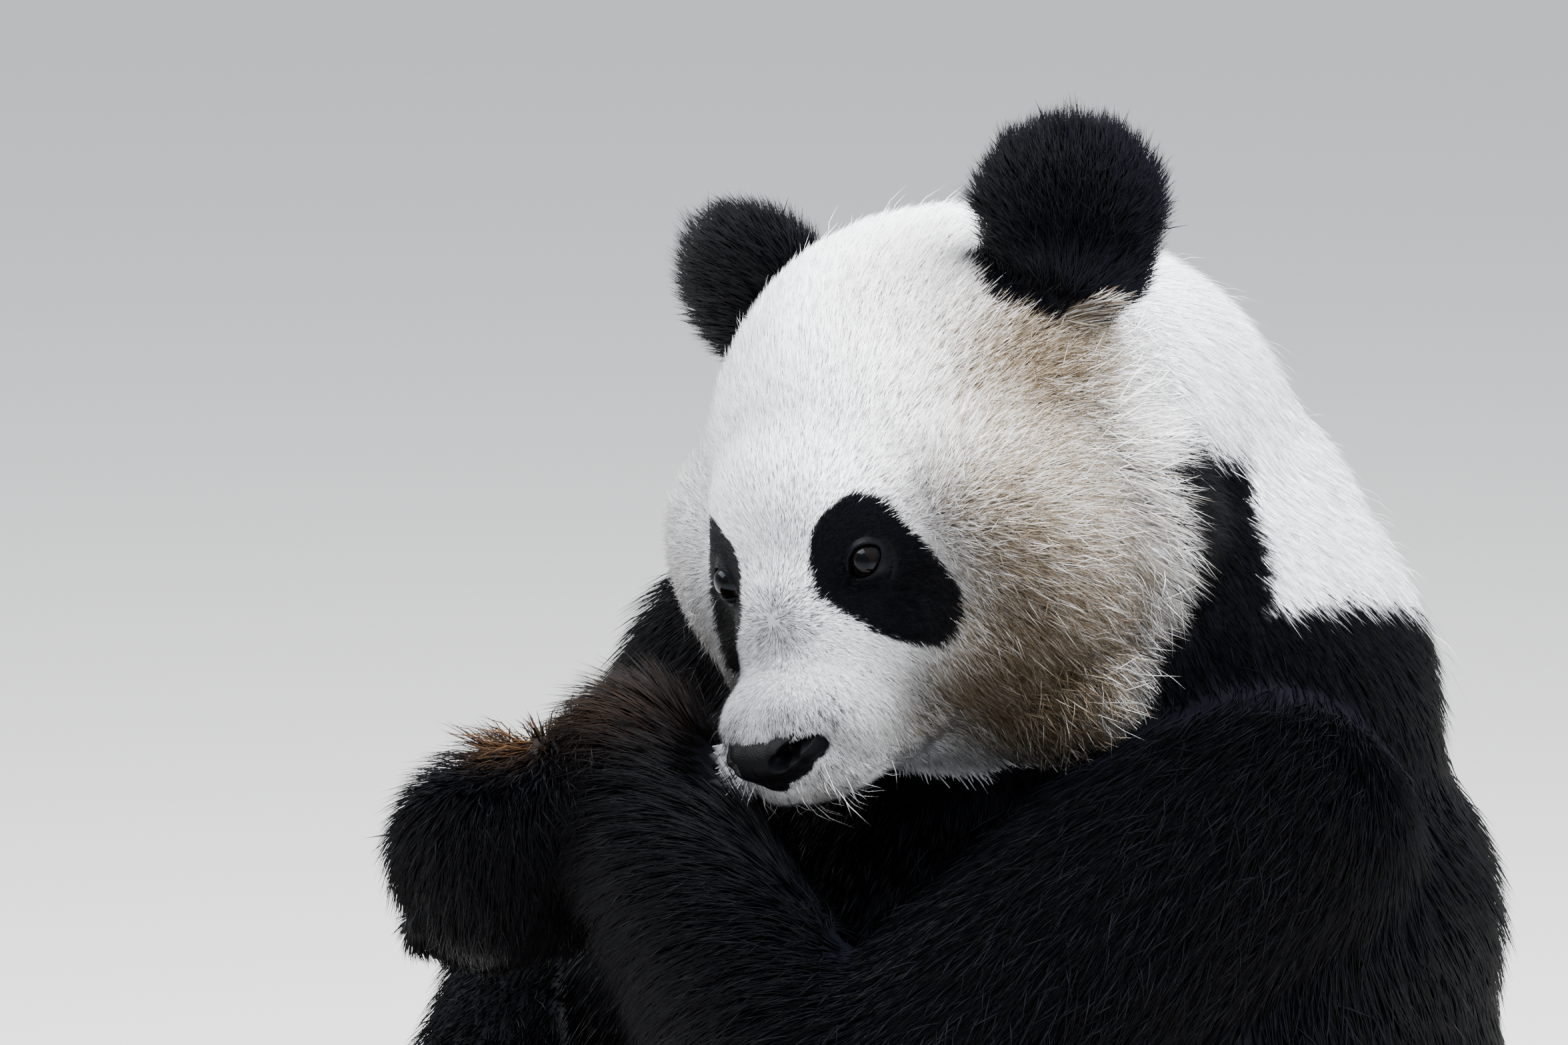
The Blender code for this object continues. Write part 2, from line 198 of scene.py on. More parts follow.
def nose_masses():
    """The nose pad: a broad ball with two wings and a lower lip end."""
    middle = (((0.0, 0.1980, -0.0680), (0.0300, 0.0185, 0.0140)), ((0.0, 0.1970, -0.0770), (0.0140, 0.0140, 0.0130)))
    paired = (
        ((0.0140, 0.1965, -0.0665), (0.0155, 0.0175, 0.0125)),
        ((0.0240, 0.1885, -0.0655), (0.0140, 0.0185, 0.0120)),
        ((0.0110, 0.1940, -0.0740), (0.0145, 0.0150, 0.0120)),
        ((0.0170, 0.1925, -0.0725), (0.0135, 0.0150, 0.0110)),
    )
    return balls_on_head(middle, paired)


def ear_axes(name, side):
    """Across the ear, the way its cup faces, and its upright."""
    facing = unit(EAR_FACING[name] @ HEAD_AXES)
    upright = head_way(side * 0.46, 0.0, 0.86)
    across = unit(np.cross(upright, facing))
    return np.array([across, facing, np.cross(facing, across)])


def ear_masses(name, side):
    axes = ear_axes(name, side)
    middle = on_head(EAR_PLACE[name])
    root = middle - axes[2] * EAR_RADIUS * 0.62
    return [
        ball(middle, (EAR_WIDTH, EAR_THICKNESS, EAR_RADIUS), axes),
        ball(root, (EAR_WIDTH * 0.78, EAR_THICKNESS * 1.15, EAR_RADIUS * 0.55), axes),
    ]


class Paw:
    """Where a hand or foot lies: its middle, the way its toes point, and the way its sole faces."""

    def __init__(self, middle, toes, sole, length, width, curl, hook):
        self.middle = middle
        self.toes = unit(toes)
        self.across = unit(np.cross(self.toes, sole))
        self.sole = unit(np.cross(self.across, self.toes))
        self.length = length
        self.width = width
        self.curl = curl
        self.along = self.toes * cos(hook) + self.sole * sin(hook)
        self.bend = self.sole * cos(hook) - self.toes * sin(hook)

    def toe(self, index):
        spread = index / (TOES - 1) * 2 - 1
        reach = self.length * (0.36 - 0.07 * spread * spread)
        across = self.across * spread * self.width * 0.36
        return self.middle + across + self.toes * reach + self.sole * self.length * self.curl

    def masses(self):
        half = (self.width / 2, self.length * 0.36, self.length * 0.25)
        made = [ball(self.middle, half, np.array([self.across, self.toes, self.sole]))]
        return made + [ball(self.toe(i), (self.width * 0.145,) * 3) for i in range(TOES)]


def hand_paw(name):
    if name == "left":
        return Paw(HAND[name], row(0.02, 0.06, -1.0), row(-0.66, 0.72, 0.0), 0.176, 0.122, 0.16, radians(105))
    return Paw(HAND[name], row(0.90, -0.10, -0.38), row(0.10, 1.0, -0.10), 0.170, 0.116, 0.06, radians(35))


def foot_paw(side):
    middle = side_of(side, ANKLE + (0.014, -0.066, 0.026))
    return Paw(middle, row(side * 0.26, -0.30, 1.0), row(side * 0.10, -1.0, -0.20), 0.205, 0.136, 0.04, radians(25))


PAWS = {
    "hand_left": hand_paw("left"),
    "hand_right": hand_paw("right"),
    "foot_left": foot_paw(1),
    "foot_right": foot_paw(-1),
}


def arm_masses(name):
    shoulder, elbow, wrist = SHOULDER[name], ELBOW[name], WRIST[name]
    middle = elbow + (wrist - elbow) * 0.55
    return [
        link(shoulder, 0.104, elbow, 0.078),
        link(elbow, 0.078, middle, 0.066),
        link(middle, 0.066, wrist, 0.055),
    ]


def hand_masses(name):
    paw = PAWS["hand_" + name]
    made = [link(WRIST[name], 0.055, paw.middle, 0.048), *paw.masses()]
    if name == "left":
        made += [ball(place, (HUMP_RADIUS,) * 3) for place in WRIST_HUMP]
    return made


def leg_masses(side):
    hip, knee, ankle = (side_of(side, point) for point in (HIP, KNEE, ANKLE))
    calf = knee + (ankle - knee) * 0.45
    return [link(hip, 0.150, knee, 0.118), link(knee, 0.118, calf, 0.104), link(calf, 0.104, ankle, 0.078)]


def foot_masses(name, side):
    ankle = side_of(side, ANKLE)
    paw = PAWS["foot_" + name]
    heel = ankle + row(0.0, -0.034, -0.042)
    return [link(ankle, 0.074, paw.middle, 0.058), link(heel, 0.058, paw.middle, 0.056), *paw.masses()]


TRUNK_MASSES = [
    ball(NECK, (0.152, 0.1385, 0.131)),
    ball(CHEST + (0.0, 0.015, 0.086), (0.205, 0.154, 0.147)),
    ball(CHEST, (0.269, 0.188, 0.211)),
    ball(WAIST, (0.302, 0.242, 0.205)),
    ball(BELLY, (0.312, 0.276, 0.285)),
    ball(RUMP, (0.290, 0.258, 0.230)),
]

MASSES = {"head": head_masses(), "trunk": TRUNK_MASSES, "tail": [link(TAIL_ROOT, 0.060, TAIL_TIP, 0.044)]}
# Each form: its voxel, its rounds of smoothing and the parts whose masses it is fused from
FORMS = [(0.0035, 24, ("head",)), (0.008, 37, ("trunk",)), (0.006, 22, ("tail",))]
for _name, _side in SIDES:
    MASSES["ear_" + _name] = ear_masses(_name, _side)
    MASSES["arm_" + _name] = arm_masses(_name)
    MASSES["hand_" + _name] = hand_masses(_name)
    MASSES["leg_" + _name] = leg_masses(_side)
    MASSES["foot_" + _name] = foot_masses(_name, _side)
    FORMS.append((0.003, 8, ("ear_" + _name,)))
    FORMS.append((0.005, 12, ("arm_" + _name, "hand_" + _name)))
    FORMS.append((0.006, 22, ("leg_" + _name, "foot_" + _name)))
NOSE_MASSES = nose_masses()
PARTS = sorted(MASSES)
PART = {name: index for index, name in enumerate(PARTS)}


def from_segment(points, start, end):
    """How far each point lies from the segment, and how far along the segment it lies, as a share."""
    axis = end - start
    t = np.clip((points - start) @ axis / (axis @ axis), 0.0, 1.0)
    return np.linalg.norm(points - start - t[:, None] * axis, axis=1), t


def distance(points, masses):
    """How far each point lies outside the masses. Inside them it is negative."""
    nearest = np.full(len(points), 1e9)
    for kind, *size in masses:
        if kind == "ball":
            centre, radii, axes = size
            local = (points - centre) @ axes.T
            scaled = np.linalg.norm(local / radii, axis=1)
            slope = np.linalg.norm(local / radii**2, axis=1)
            found = scaled * (scaled - 1.0) / np.maximum(slope, 1e-9)
        else:
            start, start_radius, end, end_radius = size
            found, t = from_segment(points, start, end)
            found = found - start_radius - (end_radius - start_radius) * t
        nearest = np.minimum(nearest, found)
    return nearest


# ---------------------------------------------------------------- the coat: length, lift, lie and markings

# Stations on the head, the left side mirrored: left, forward, up, hair length, lift in degrees, tuft width
HEAD_COAT = (
    (0.000, 0.206, -0.052, 0.0062, 22, 0.00050),
    (0.034, 0.186, -0.084, 0.0085, 25, 0.00052),
    (0.000, 0.152, -0.010, 0.0070, 24, 0.00052),
    (0.000, 0.115, 0.070, 0.0100, 22, 0.00060),
    (0.000, 0.030, 0.140, 0.0150, 20, 0.00085),
    (0.000, -0.120, 0.090, 0.0260, 18, 0.00140),
    (0.060, 0.120, 0.005, 0.0055, 18, 0.00060),
    (0.082, 0.115, -0.035, 0.0095, 16, 0.00058),
    (0.105, 0.075, 0.050, 0.0150, 22, 0.00064),
    (0.130, 0.060, -0.050, 0.0240, 24, 0.00070),
    (0.160, -0.020, -0.060, 0.0360, 29, 0.00088),
    (0.110, 0.040, -0.130, 0.0320, 28, 0.00084),
    (0.055, 0.110, -0.110, 0.0160, 26, 0.00066),
    (0.000, 0.120, -0.125, 0.0120, 26, 0.00080),
    (0.000, 0.000, -0.160, 0.0260, 24, 0.00140),
    (0.140, -0.100, 0.010, 0.0300, 22, 0.00105),
)

# Hair length, lift in degrees and tuft width on the other parts
PART_COAT = {
    "ear": (0.0210, 40, 0.00095),
    "trunk": (0.0420, 15, 0.00200),
    "tail": (0.0420, 18, 0.00230),
    "arm": (0.0400, 18, 0.00140),
    "hand": (0.0270, 20, 0.00135),
    "leg": (0.0380, 16, 0.00220),
    "foot": (0.0200, 18, 0.00160),
}
CURL = 0.5  # share of its lift that a hair loses by its tip
DEPTH_SHARE = 0.74  # of a hair's length times the sine of its lift, how much the coat adds over the skin
STEEPEST = 40  # degrees, the most lift that counts for that depth
LEAST_DEPTH = 0.0008  # of the skin under the coat's surface
FLOOR_GAP = 0.005  # the skin's least height over the floor

WHORL = row(0.0, 0.154, -0.006)  # on the head, where the hair of the nose bridge starts
WRIST_TOP = row(-0.112, -0.196, 0.624)
EAR_FOLD = (0.148, -0.044, 0.054)  # where the hair lies flat at the ear's base


def near(local, place, reach):
    """1 at the place, falling smoothly to nothing beyond the reach."""
    return np.exp(-((local - row(*place)) ** 2).sum(1) / (2 * reach**2))


def spots(places, listed):
    """The sum of these soft spots: each an amount, a place and a reach."""
    return sum(amount * near(places, place, reach) for amount, place, reach in listed)


def head_coat(points):
    """Hair length, lift and tuft width on the head, blended between its stations."""
    local = mirrored_head(points)
    stations = np.array(HEAD_COAT)
    away = ((local[:, None, :] - stations[None, :, :3]) ** 2).sum(2)
    share = 1.0 / (away + 0.012**2) ** 2
    share /= share.sum(1, keepdims=True)
    return share @ stations[:, 3:]


def coat_at(points, shares):
    """Hair length, lift and tuft width at each point, from the parts' shares there."""
    total = shares[:, [PART["head"]]] * head_coat(points)
    for name in PARTS:
        if name != "head":
            total = total + shares[:, [PART[name]]] * row(*PART_COAT[name.split("_")[0]])
    length, lift, width = total.T
    # Shorter and finer on the nape
    nape = shares[:, PART["trunk"]] * ramp(0.60, 0.72, points[:, 2])
    length -= nape * 0.020
    width -= nape * 0.0013
    # Longer and standing up over the bent left wrist
    cuff = near(points, WRIST_TOP, 0.026) * (shares[:, PART["hand_left"]] + shares[:, PART["arm_left"]])
    lift += cuff * 34
    length += cuff * 0.010
    # Flat at the ear's base
    lift -= 22 * near(mirrored_head(points), EAR_FOLD, 0.022)
    # Short and flat under the nose pad
    rim = ramp(0.012, 0.001, distance(points, NOSE_MASSES)) * ramp(-0.050, -0.062, from_head(points)[:, 2])
    length *= 1 - 0.5 * rim
    lift *= 1 - 0.3 * rim
    # Short and flat on the toes
    for paw in PAWS.values():
        toes = np.max([near(points, paw.toe(index), 0.020) for index in range(TOES)], axis=0)
        length -= toes * 0.011
        lift -= toes * 5
    return total


# Places where the skin lies a little deeper: depth, place and reach
HOLLOWS = ((0.0070, on_head((-0.062, 0.050, 0.112)), 0.045),)


def depth_of(points, coat):
    """How far under the coat's own surface the skin lies."""
    depth = coat[:, 0] * np.sin(np.radians(np.minimum(coat[:, 1], STEEPEST))) * DEPTH_SHARE + LEAST_DEPTH
    return depth + spots(points, HOLLOWS)


def flattened(ways, normals):
    """The ways, turned to lie along the surface."""
    return unit(ways - normals * (ways * normals).sum(1, keepdims=True))


def head_lie(points):
    """The way the hair runs on the head: out from the whorl, then back, and down over the cheeks."""
    local = from_head(points)
    far = np.linalg.norm(local - WHORL, axis=1)[:, None]
    low = ramp(0.05, -0.09, local[:, [2]])
    side = ramp(0.02, 0.11, abs(local[:, [0]]))
    ways = unit(local - WHORL) @ HEAD_AXES
    ways = ways - HEAD_AXES[1] * ramp(0.05, 0.14, far) * 0.7 + DOWN * (0.35 * side + 1.25 * low * side)
    return ways + DOWN * 0.5 * ramp(0.04, -0.06, local[:, [1]])


def lie_at(points, normals, shares):
    """The way the hair runs at each point, along the skin."""
    lie = np.zeros_like(points)

    def add(part, ways):
        nonlocal lie
        lie = lie + shares[:, [PART[part]]] * unit(ways)

    add("head", head_lie(points))
    for name, side_sign in SIDES:
        axes = ear_axes(name, side_sign)
        root = on_head(EAR_PLACE[name]) - axes[2] * EAR_RADIUS * 0.9
        add("ear_" + name, points - root)
        paw = PAWS["hand_" + name]
        fore = unit(WRIST[name] - ELBOW[name])
        upper = unit(ELBOW[name] - SHOULDER[name])
        mix = ramp(-0.04, 0.04, (points - ELBOW[name]) @ (upper + fore))[:, None]
        if name == "left":
            fall = ramp(0.62, 0.47, points[:, [2]])
            fore_way = row(-0.70, -0.62, 0.0) + DOWN * (0.12 + 1.05 * fall)
            add("hand_left", unit(points - WRIST_TOP - (0.0, 0.0, 0.03)) + paw.toes * 0.5)
        else:
            fore_way = fore + DOWN * 0.45
            add("hand_right", paw.toes + DOWN * 0.2 + fore * 0.3)
        add("arm_" + name, (upper + DOWN * 0.4) * (1 - mix) + fore_way * mix)
        paw = PAWS["foot_" + name]
        hip, knee, ankle = (side_of(side_sign, point) for point in (HIP, KNEE, ANKLE))
        add("leg_" + name, unit(knee - hip) * 0.5 + unit(ankle - knee) * 0.7 + DOWN * 0.55)
        add("foot_" + name, paw.toes + DOWN * 0.1)
    collar = unit(points - (HEAD_CENTRE + (0.0, 0.05, 0.03)))
    add("trunk", DOWN + collar * 0.9 + row(0.0, 0.15, 0.0))
    add("tail", np.broadcast_to(TAIL_TIP - TAIL_ROOT, points.shape))
    return flattened(lie, normals)


# Edge of the black patch round each eye, left and up on the head, in millimetres
# fmt: off
EYE_PATCH = (
    (60, 43), (46, 40), (34, 32), (28, 15), (31, -2), (41, -13), (53, -24), (59, -34), (67, -45),
    (76, -52), (86, -55), (97, -51), (103, -41), (103, -27), (98, -12), (90, 3), (82, 18), (72, 35),
)
# fmt: on


def patch_edge(local):
    """How far each place on the head's left side lies outside the eye's patch. Inside it is negative."""
    places = local[:, [0, 2]]
    edge = np.array(EYE_PATCH) / 1000
    nearest = np.full(len(places), 1e9)
    inside = np.zeros(len(places), dtype=bool)
    for start, end in zip(edge, np.roll(edge, -1, axis=0)):
        side = end - start
        nearest = np.minimum(nearest, from_segment(places, start, end)[0])
        spans = (start[1] > places[:, 1]) != (end[1] > places[:, 1])
        crossing = start[0] + (places[:, 1] - start[1]) / (side[1] if side[1] else 1e-9) * side[0]
        inside ^= spans & (places[:, 0] < crossing)
    away = np.where(inside, -nearest, nearest)
    return np.where(local[:, 1] > 0.05, away, 0.05)


# Soft spots of colour, each an amount, a place and a reach; on the head they are mirrored to the right side
# The yellow stain of the head's white hair, with painted shade in it: deeper low on the cheeks, and deepest at the
# mouth's corner and under the jaw, where shade falls
STAINS_AND_SHADE = (
    (0.62, (0.152, 0.030, -0.012), 0.060),
    (0.48, (0.148, 0.078, -0.018), 0.026),
    (0.34, (0.135, -0.010, 0.050), 0.080),
    (0.40, (0.124, 0.078, 0.012), 0.022),
    (0.72, (0.126, 0.092, -0.058), 0.026),
    # Painted shade at the mouth's corner and under the jaw: shares past 1 darken the hair further
    (1.40, (0.090, 0.106, -0.096), 0.024),
    (1.60, (0.088, 0.082, -0.130), 0.036),
    (0.80, (0.132, 0.045, -0.092), 0.040),
    (0.62, (0.142, -0.042, 0.054), 0.028),
    (0.65, (0.136, -0.006, 0.062), 0.028),
    (0.35, (0.128, 0.020, 0.048), 0.036),
    (0.34, (0.070, -0.010, 0.130), 0.040),
    (0.70, (0.020, 0.196, -0.104), 0.013),
    (0.40, (0.056, 0.148, -0.088), 0.020),
)
# White hair that runs up on the ear's base
EAR_BASE = ((1.0, (0.146, -0.036, 0.050), 0.017), (1.0, (0.156, -0.046, 0.038), 0.018))
EAR_RIM = (0.112, -0.036, 0.097)  # black hair of the ear that runs down on the crown
# Rusty hair tips on the bent left wrist
WRIST_RUST = ((0.75, WRIST_TOP, 0.014), (0.06, (-0.060, -0.170, 0.636), 0.018))
# Grey hair: most at the whorl of the nose bridge and above the nose pad
GREYS = (
    (0.45, (0.000, 0.150, -0.004), 0.018),
    (0.60, (0.020, 0.202, -0.045), 0.011),
    (0.50, (0.042, 0.184, -0.058), 0.009),
    (0.30, (0.030, 0.196, -0.080), 0.014),
    (0.25, (0.034, 0.130, 0.008), 0.016),
)
PATCH_SOFT = 0.004  # half the width over which an eye patch or the ruff ends
BAND_SOFT = 0.006  # half the width over which the black band ends


def head_white(points, mirrored, head, ears):
    """White of the head, but for the black eye patches, the dark edge of the ruff, partly painted shade of the crease
    behind the cheek, and the ears.
    """
    side, fwd, up = mirrored.T
    patch = ramp(-PATCH_SOFT, PATCH_SOFT, patch_edge(mirrored))
    # The black chest shows behind this curved plane, low on the head and not far out; set forward, it also paints the
    # crease behind the cheek black as painted shade
    ruff = 0.928 * fwd + 0.371 * up + 0.042 + 0.006 * np.clip(1 - ((up + 0.094) / 0.046) ** 2, -1, 1)
    ruff = ramp(-PATCH_SOFT, PATCH_SOFT, ruff)
    ruff = np.maximum(np.maximum(ruff, ramp(-0.052, -0.026, up)), ramp(0.105, 0.080, side))
    ear_gap = np.minimum(distance(points, MASSES["ear_left"]), distance(points, MASSES["ear_right"]))
    base = ramp(0.30, 0.95, spots(mirrored, EAR_BASE))
    rim = ramp(0.70, 0.50, near(mirrored, EAR_RIM, 0.019))
    pale = head * patch * ruff * np.maximum(ramp(0.000, 0.003, ear_gap) * rim, base)
    return np.maximum(pale, base * (head + ears) * 1.2)


def black_band(points):
    """The black of the trunk: a band round the chest that narrows to a saddle over the shoulders, and runs up the
    front of the neck, partly as painted shade behind the cheek.
    """
    x, y, z = points.T
    neck = 0.688 - 0.030 * ramp(0.15, 0.30, y)
    # Painted shade in part: the black at the front of the neck is widened back towards the white neck, for the
    # crease's shade behind the cheek
    behind = 0.116 + (z - 0.698) * 0.49
    band = np.maximum(ramp(neck + BAND_SOFT, neck - BAND_SOFT, z), ramp(behind + BAND_SOFT, behind - BAND_SOFT, y))
    top = 0.790 - 0.085 * ramp(0.02, -0.06, x)
    band *= ramp(0.352, 0.364, z) * ramp(0.0, -0.04, z - top)
    return band


def markings(points, shares):
    """White, tan and rust shares of the coat at each point."""
    mirrored = mirrored_head(points)
    x, _, z = points.T
    head = shares[:, PART["head"]]
    ears = shares[:, PART["ear_left"]] + shares[:, PART["ear_right"]]
    trunk = shares[:, PART["trunk"]]
    tail = shares[:, PART["tail"]]
    limbs = 1 - head - ears - trunk - tail
    band = black_band(points)
    white = head_white(points, mirrored, head, ears) + trunk * (1 - band) + tail
    white = ramp(0.35, 0.65, white / np.maximum(head + trunk + tail + ears * 1.2 + limbs, 1e-6))
    # The right cheek has half as much stain and painted shade as the left
    stain_and_shade = spots(mirrored, STAINS_AND_SHADE)
    stain_and_shade *= 0.5 + 0.5 * ramp(-0.06, 0.04, from_head(points)[:, 0])
    tan = np.clip(stain_and_shade, 0, 2) * (head + ears) + 0.35 * (trunk + tail) * (1 - band) * ramp(0.40, 0.05, z)
    fore = shares[:, PART["arm_left"]] + shares[:, PART["hand_left"]]
    rust = fore * spots(points, WRIST_RUST)
    rust += fore * 0.025 * ramp(0.60, 0.65, z) * ramp(0.10, -0.05, x)
    rust += 0.03 * limbs * ramp(0.35, 0.05, z)
    return white, np.clip(tan, 0, 2), np.clip(rust, 0, 1)


def grey_share(points):
    """Share of grey hairs among the white."""
    local = mirrored_head(points)
    return spots(local, GREYS) + 0.07 * ramp(0.06, 0.12, local[:, 1])


# ---------------------------------------------------------------- meshes


def mesh_of(bm, name):
    """The bmesh's content as a mesh, and the bmesh freed."""
    mesh = bpy.data.meshes.new(name)
    bm.to_mesh(mesh)
    bm.free()
    return mesh


def take_in(bm, mesh):
    """Add the mesh to the bmesh, and remove it."""
    bm.from_mesh(mesh)
    bpy.data.meshes.remove(mesh)


def coordinates(mesh):
    """The places of the mesh's vertices."""
    out = np.empty(len(mesh.vertices) * 3)
    mesh.vertices.foreach_get("co", out)
    return out.reshape(-1, 3)


def set_coordinates(mesh, points):
    mesh.vertices.foreach_set("co", np.ascontiguousarray(points, dtype=np.float32).ravel())
    mesh.update()


def normals_of(mesh):
    out = np.empty(len(mesh.vertices) * 3, dtype=np.float32)
    mesh.vertex_normals.foreach_get("vector", out)
    return out.reshape(-1, 3).astype(float)


def edges_of(mesh):
    out = np.empty(len(mesh.edges) * 2, dtype=np.int32)
    mesh.edges.foreach_get("vertices", out)
    return out.reshape(-1, 2)


def evened(values, edges, rounds):
    """Each value drawn towards the mean of its neighbours, so many times."""
    count = len(values)
    both = np.concatenate([edges, edges[:, ::-1]])
    number = np.maximum(np.bincount(both[:, 0], minlength=count), 1)[:, None]
    for _ in range(rounds):
        sums = [np.bincount(both[:, 0], values[both[:, 1], i], count) for i in range(values.shape[1])]
        values = 0.5 * values + 0.5 * np.stack(sums, 1) / number
    return values


def set_attributes(mesh, **fields):
    """Store these numbers or vectors, one for each vertex, under their names."""
    for name, values in fields.items():
        kind, key = ("FLOAT", "value") if values.ndim == 1 else ("FLOAT_VECTOR", "vector")
        field = mesh.attributes.new(name, kind, "POINT")
        field.data.foreach_set(key, values.astype(np.float32).ravel())


def get_attribute(mesh, name):
    field = mesh.attributes[name]
    width = 1 if field.data_type == "FLOAT" else 3
    out = np.empty(len(mesh.vertices) * width, dtype=np.float32)
    field.data.foreach_get("value" if width == 1 else "vector", out)
    return out.astype(float) if width == 1 else out.reshape(-1, 3).astype(float)


def shares_of(mesh):
    """Each vertex's shares of the parts, in the order of PARTS."""
    return np.stack([get_attribute(mesh, "part_" + name) for name in PARTS], 1)


def smoothed(mesh, rounds, voxel=None):
    """The mesh smoothed so many times, after it is fused to this fineness where a voxel is given."""
    obj = bpy.data.objects.new("making", mesh)
    bpy.context.scene.collection.objects.link(obj)
    if voxel:
        fusing = obj.modifiers.new("Fusing", "REMESH")
        fusing.mode, fusing.voxel_size = "VOXEL", voxel
    smoothing = obj.modifiers.new("Smoothing", "SMOOTH")
    smoothing.factor, smoothing.iterations = 0.5, rounds
    graph = bpy.context.evaluated_depsgraph_get()
    result = bpy.data.meshes.new_from_object(obj.evaluated_get(graph), depsgraph=graph)
    bpy.data.objects.remove(obj)
    bpy.data.meshes.remove(mesh)
    return result


def add_mass(bm, mass):
    """Add one closed ball, or the hull round two, to the bmesh."""
    kind, *size = mass
    if kind == "ball":
        centre, radii, axes = size
        place = Matrix.Translation(centre) @ Matrix(axes).transposed().to_4x4() @ Matrix.Diagonal((*radii, 1.0))
        bmesh.ops.create_icosphere(bm, subdivisions=4, radius=1.0, matrix=place)
        return
    start, start_radius, end, end_radius = size
    own = bmesh.new()
    for centre, radius in ((start, start_radius), (end, end_radius)):
        bmesh.ops.create_icosphere(own, subdivisions=3, radius=radius, matrix=Matrix.Translation(centre))
    hull = bmesh.ops.convex_hull(own, input=own.verts[:])
    inner = [item for item in hull["geom_interior"] if isinstance(item, bmesh.types.BMVert)]
    bmesh.ops.delete(own, geom=inner, context="VERTS")
    take_in(bm, mesh_of(own, "mass"))


def fused(masses, voxel, rounds):
    """One smooth closed mesh round the masses."""
    bm = bmesh.new()
    for mass in masses:
        add_mass(bm, mass)
    return smoothed(mesh_of(bm, "fused"), rounds, voxel)


def joined(meshes):
    """One mesh from several, which are removed."""
    bm = bmesh.new()
    for mesh in meshes:
        take_in(bm, mesh)
    return mesh_of(bm, "joined")


def new_piece(name, mesh, nodes=()):
    """Make the mesh a piece of the panda, in the frame's place."""
    mesh.name = name
    mesh.transform(Matrix.Translation(SHIFT))
    piece = bpy.data.objects.new(name, mesh)
    bpy.context.scene.collection.objects.link(piece)
    mesh.shade_smooth()
    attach(piece, "root")
    if nodes:
        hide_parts(*nodes)


# ---------------------------------------------------------------- skin

# The line between the lips, from the middle to the left corner, on the head
# fmt: off
MOUTH = np.array([
    (0.000, 0.206, -0.101), (0.020, 0.200, -0.101), (0.038, 0.184, -0.100),
    (0.050, 0.160, -0.099), (0.056, 0.136, -0.098), (0.063, 0.112, -0.094),
])
# fmt: on
BLEND_WIDTH = 0.012  # over which one part of a form passes into the next


def inset_form(voxel, rounds, names):
    """One form's surface, moved in by the coat's depth, and each vertex's part."""
    mesh = fused([mass for name in names for mass in MASSES[name]], voxel, rounds)
    points = coordinates(mesh)
    gaps = np.stack([distance(points, MASSES[name]) for name in names], 1)
    part = np.array([PART[name] for name in names])[gaps.argmin(1)]
    shares = np.exp(-(gaps - gaps.min(1, keepdims=True)) / BLEND_WIDTH)
    shares /= shares.sum(1, keepdims=True)
    every = np.zeros((len(points), len(PARTS)))
    for column, name in enumerate(names):
        every[:, PART[name]] = shares[:, column]
    depth = depth_of(points, coat_at(points, every))
    points = points - normals_of(mesh) * depth[:, None]
    points[:, 2] = np.maximum(points[:, 2], FLOOR_GAP)
    set_coordinates(mesh, points)
    return mesh, points, part


def from_mouth(local):
    """How far each place on the head lies from the line between the lips."""
    return np.min([from_segment(local, start, end)[0] for start, end in zip(MOUTH[:-1], MOUTH[1:])], axis=0)


def tree_of(points):
    """A tree that finds the nearest of these points."""
    tree = KDTree(len(points))
    for index, point in enumerate(points.tolist()):
        tree.insert(point, index)
    tree.balance()
    return tree


def found_in(tree, points):
    """The number of the tree's nearest point to each of these."""
    return np.array([tree.find(point)[1] for point in points.tolist()])


def refined(mesh, wanted):
    """Halve the edges wherever wanted says so of both ends."""
    bm = bmesh.new()
    bm.from_mesh(mesh)
    bm.edges.ensure_lookup_table()
    pairs = edges_of(mesh)
    chosen = np.flatnonzero(wanted[pairs].all(1))
    bmesh.ops.subdivide_edges(bm, edges=[bm.edges[i] for i in chosen], cuts=1, use_grid_fill=True, smooth=0.6)
    bm.to_mesh(mesh)
    bm.free()


def eye_frame(name, side):
    """The way an eye looks, the way its inner corner lies, and the way across that."""
    gaze = head_way(side * 0.30, 0.88, 0.37)
    corner = head_way(-side * 0.83, 0.43, -0.35)
    corner = unit(corner - gaze * (corner @ gaze))
    return gaze, corner, np.cross(gaze, corner) * side


LID_WIDTHS = (0.0130, 0.0108)  # of the opening between the lids, to its inner and outer corner
LID_HEIGHTS = (0.0084, 0.0080)  # to the upper and the lower lid
LID_THICKNESS = 0.0021
EYE_NEAR = 0.030  # how far from an eye its lids can reach


def eye_opening(points, name, side):
    """Each point's height over the eye's middle, its distance from the eye's axis and its place in the opening.

    The place is below 1 inside the opening between the lids.
    """
    gaze, corner, over = eye_frame(name, side)
    reach = points - EYE_CENTRE[name]
    height, a, b = reach @ gaze, reach @ corner, reach @ over
    wide = np.where(a > 0, *LID_WIDTHS)
    tall = np.where(b > 0, *LID_HEIGHTS)
    place = (abs(a / wide) ** 1.75 + abs(b / tall) ** 1.9) ** (1 / 1.82)
    return height, np.hypot(a, b), place


def by_eye(points, name):
    """Which points lie near this eye."""
    return np.linalg.norm(points - EYE_CENTRE[name], axis=1) < EYE_NEAR


